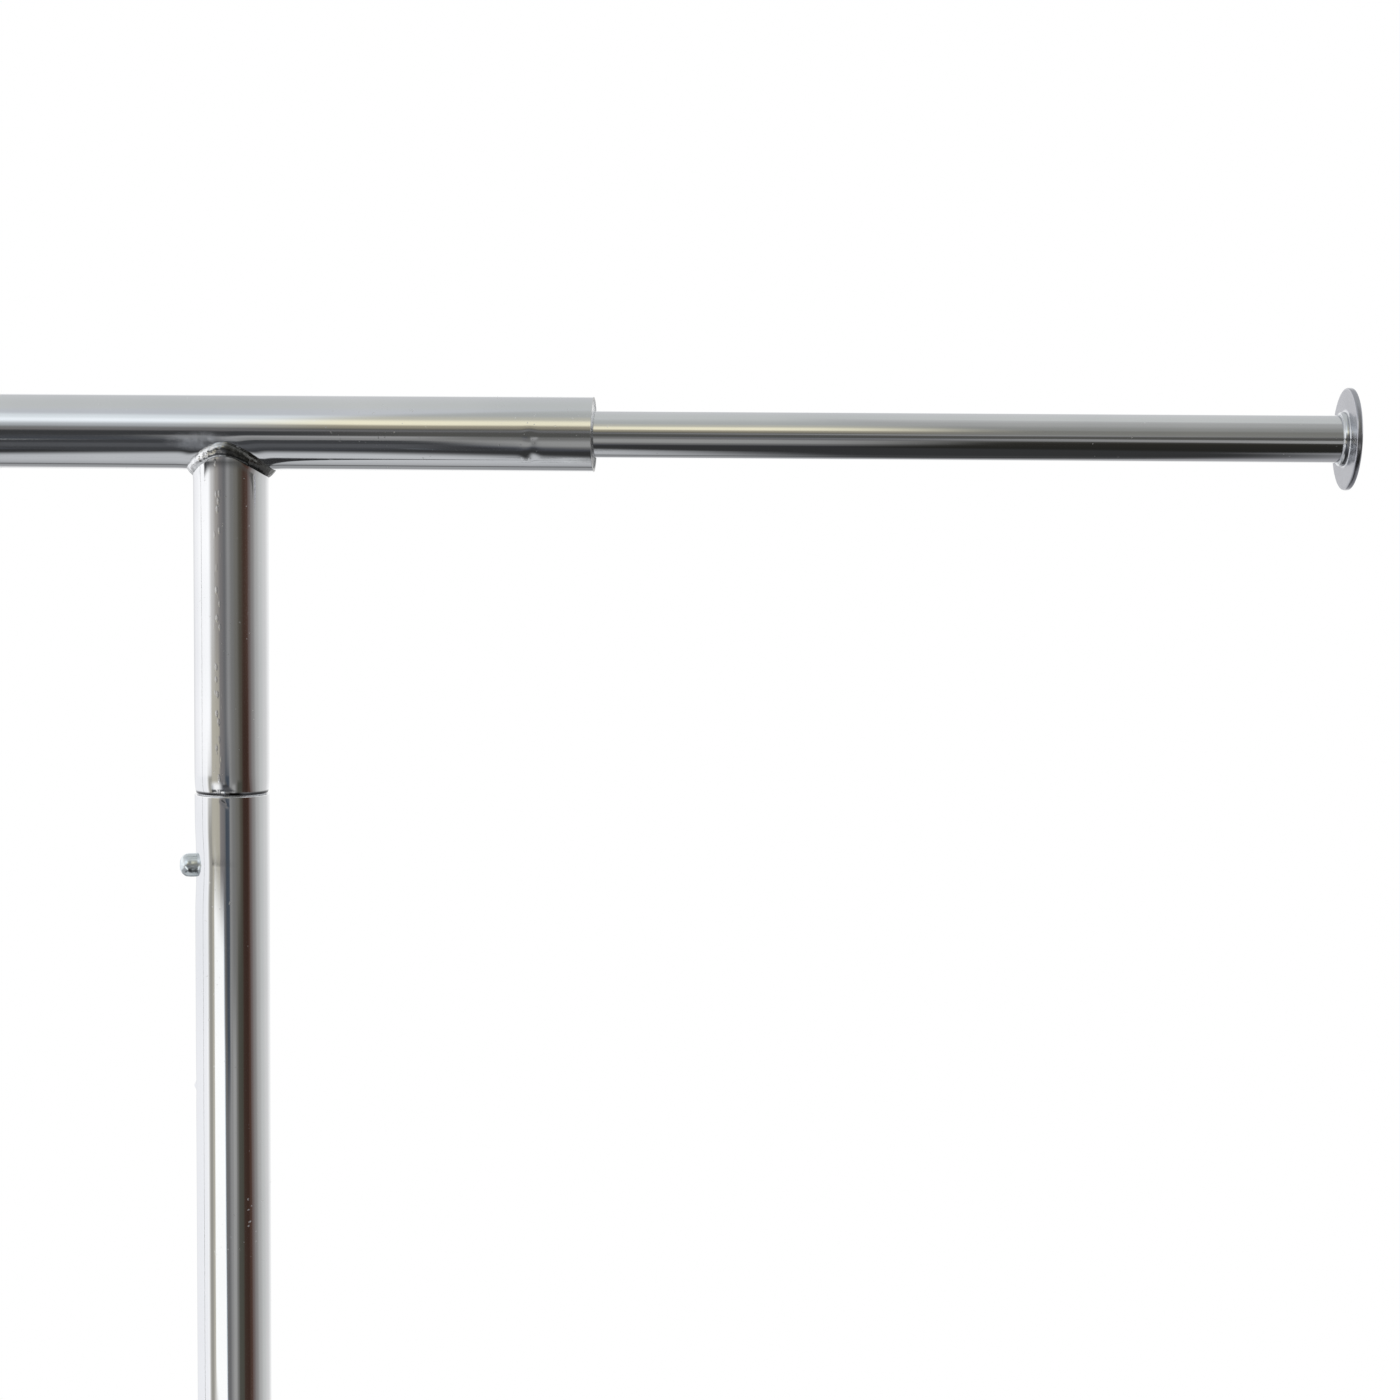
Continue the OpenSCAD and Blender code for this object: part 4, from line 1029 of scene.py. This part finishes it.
def floor_glow():
    """The floor as the metal sees it: bright under the rack and to its left, dark to its right and front."""
    s = Card("floor_glow", [[(-3.0, -2.0, 0), (3.4, -2.0, 0)], [(-3.0, 3.6, 0), (3.4, 3.6, 0)]])
    near, far = s.math("MINIMUM", s.y, 0.0), s.math("MAXIMUM", s.y, 0.0)
    left = s.math("MAXIMUM", s.math("MINIMUM", s.times(s.minus(s.x, 0.15), 1.5), 0.0), -0.45)
    front = s.soft(s.plus(s.y, left), -1.05, -0.40)
    slide = s.plus(s.times(near, 0.45), s.times(far, 0.12))
    bright = s.soft(s.minus(s.x, slide), 0.87, 0.52)
    lit = s.times(front, bright, s.minus(0.50, s.times(s.soft(s.y, 0.1, 1.4), 0.22)))
    dim = s.times(s.soft(s.y, 0.3, 1.9), s.minus(1.0, bright), 0.08)
    # A skirting shows as a thin dark line low on the rail
    skirting = s.times(s.soft(s.y, 0.93, 1.03), s.soft(s.y, 1.33, 1.20), 0.55)
    level = s.times(s.plus(lit, dim, 0.035), s.minus(1.0, skirting))
    away = s.length(s.minus(s.x, 0.4), s.plus(near, s.times(far, 0.45)))
    s.shine(s.mix(level, (0.0, 0.0, 0.0), (1.0, 1.02, 1.05)), s.soft(away, 1.25, 0.95))


def lamp(name, at, target, size, watts, tint=(1, 1, 1)):
    """A soft rectangular lamp that looks at its target and doesn't show in the metal."""
    light = bpy.data.lights.new(name, "AREA")
    light.shape = "RECTANGLE"
    light.size, light.size_y = size
    light.energy = watts
    light.color = tint
    piece = add_object(name, light)
    piece.location = at
    piece.rotation_euler = (Vector(target) - Vector(at)).to_track_quat("-Z", "Y").to_euler()
    piece.visible_glossy = False


def camera():
    """The camera fitted to the rail, rod, post, seam and disk in the photograph."""
    at = Vector((POST_X + 0.2410, -0.9434, RAIL_Z - 0.0572))
    yaw, pitch, roll = math.radians(-2.28), math.radians(-3.41), math.radians(0.50)
    forward = Vector((math.sin(yaw) * math.cos(pitch), math.cos(yaw) * math.cos(pitch), math.sin(pitch)))
    right = Vector((math.cos(yaw), -math.sin(yaw), 0))
    up = right.cross(forward)
    right, up = right * math.cos(roll) + up * math.sin(roll), up * math.cos(roll) - right * math.sin(roll)
    data = bpy.data.cameras.new("camera")
    data.lens = 56.47
    data.sensor_width = 36.0
    data.clip_end = 50
    piece = add_object("camera", data)
    piece.matrix_world = Matrix.Translation(at) @ Matrix((right, up, -forward)).transposed().to_4x4()
    bpy.context.scene.camera = piece


floor()
studio()
flag()
sheet()
shelf()
glint()
floor_glow()
lamp("soft_left", (-2.4, -2.6, 3.2), (0, 0, 0.9), (2.2, 2.2), 62, (1.0, 0.99, 0.97))
lamp("soft_right", (2.6, -2.0, 2.6), (0, 0, 0.9), (2.0, 2.0), 40)
lamp("soft_top", (0.0, 0.8, 3.6), (0, 0, 0.4), (3.0, 2.0), 46)
camera()

scene = bpy.context.scene
scene.view_settings.view_transform = "Standard"

bpy.context.view_layer.update()
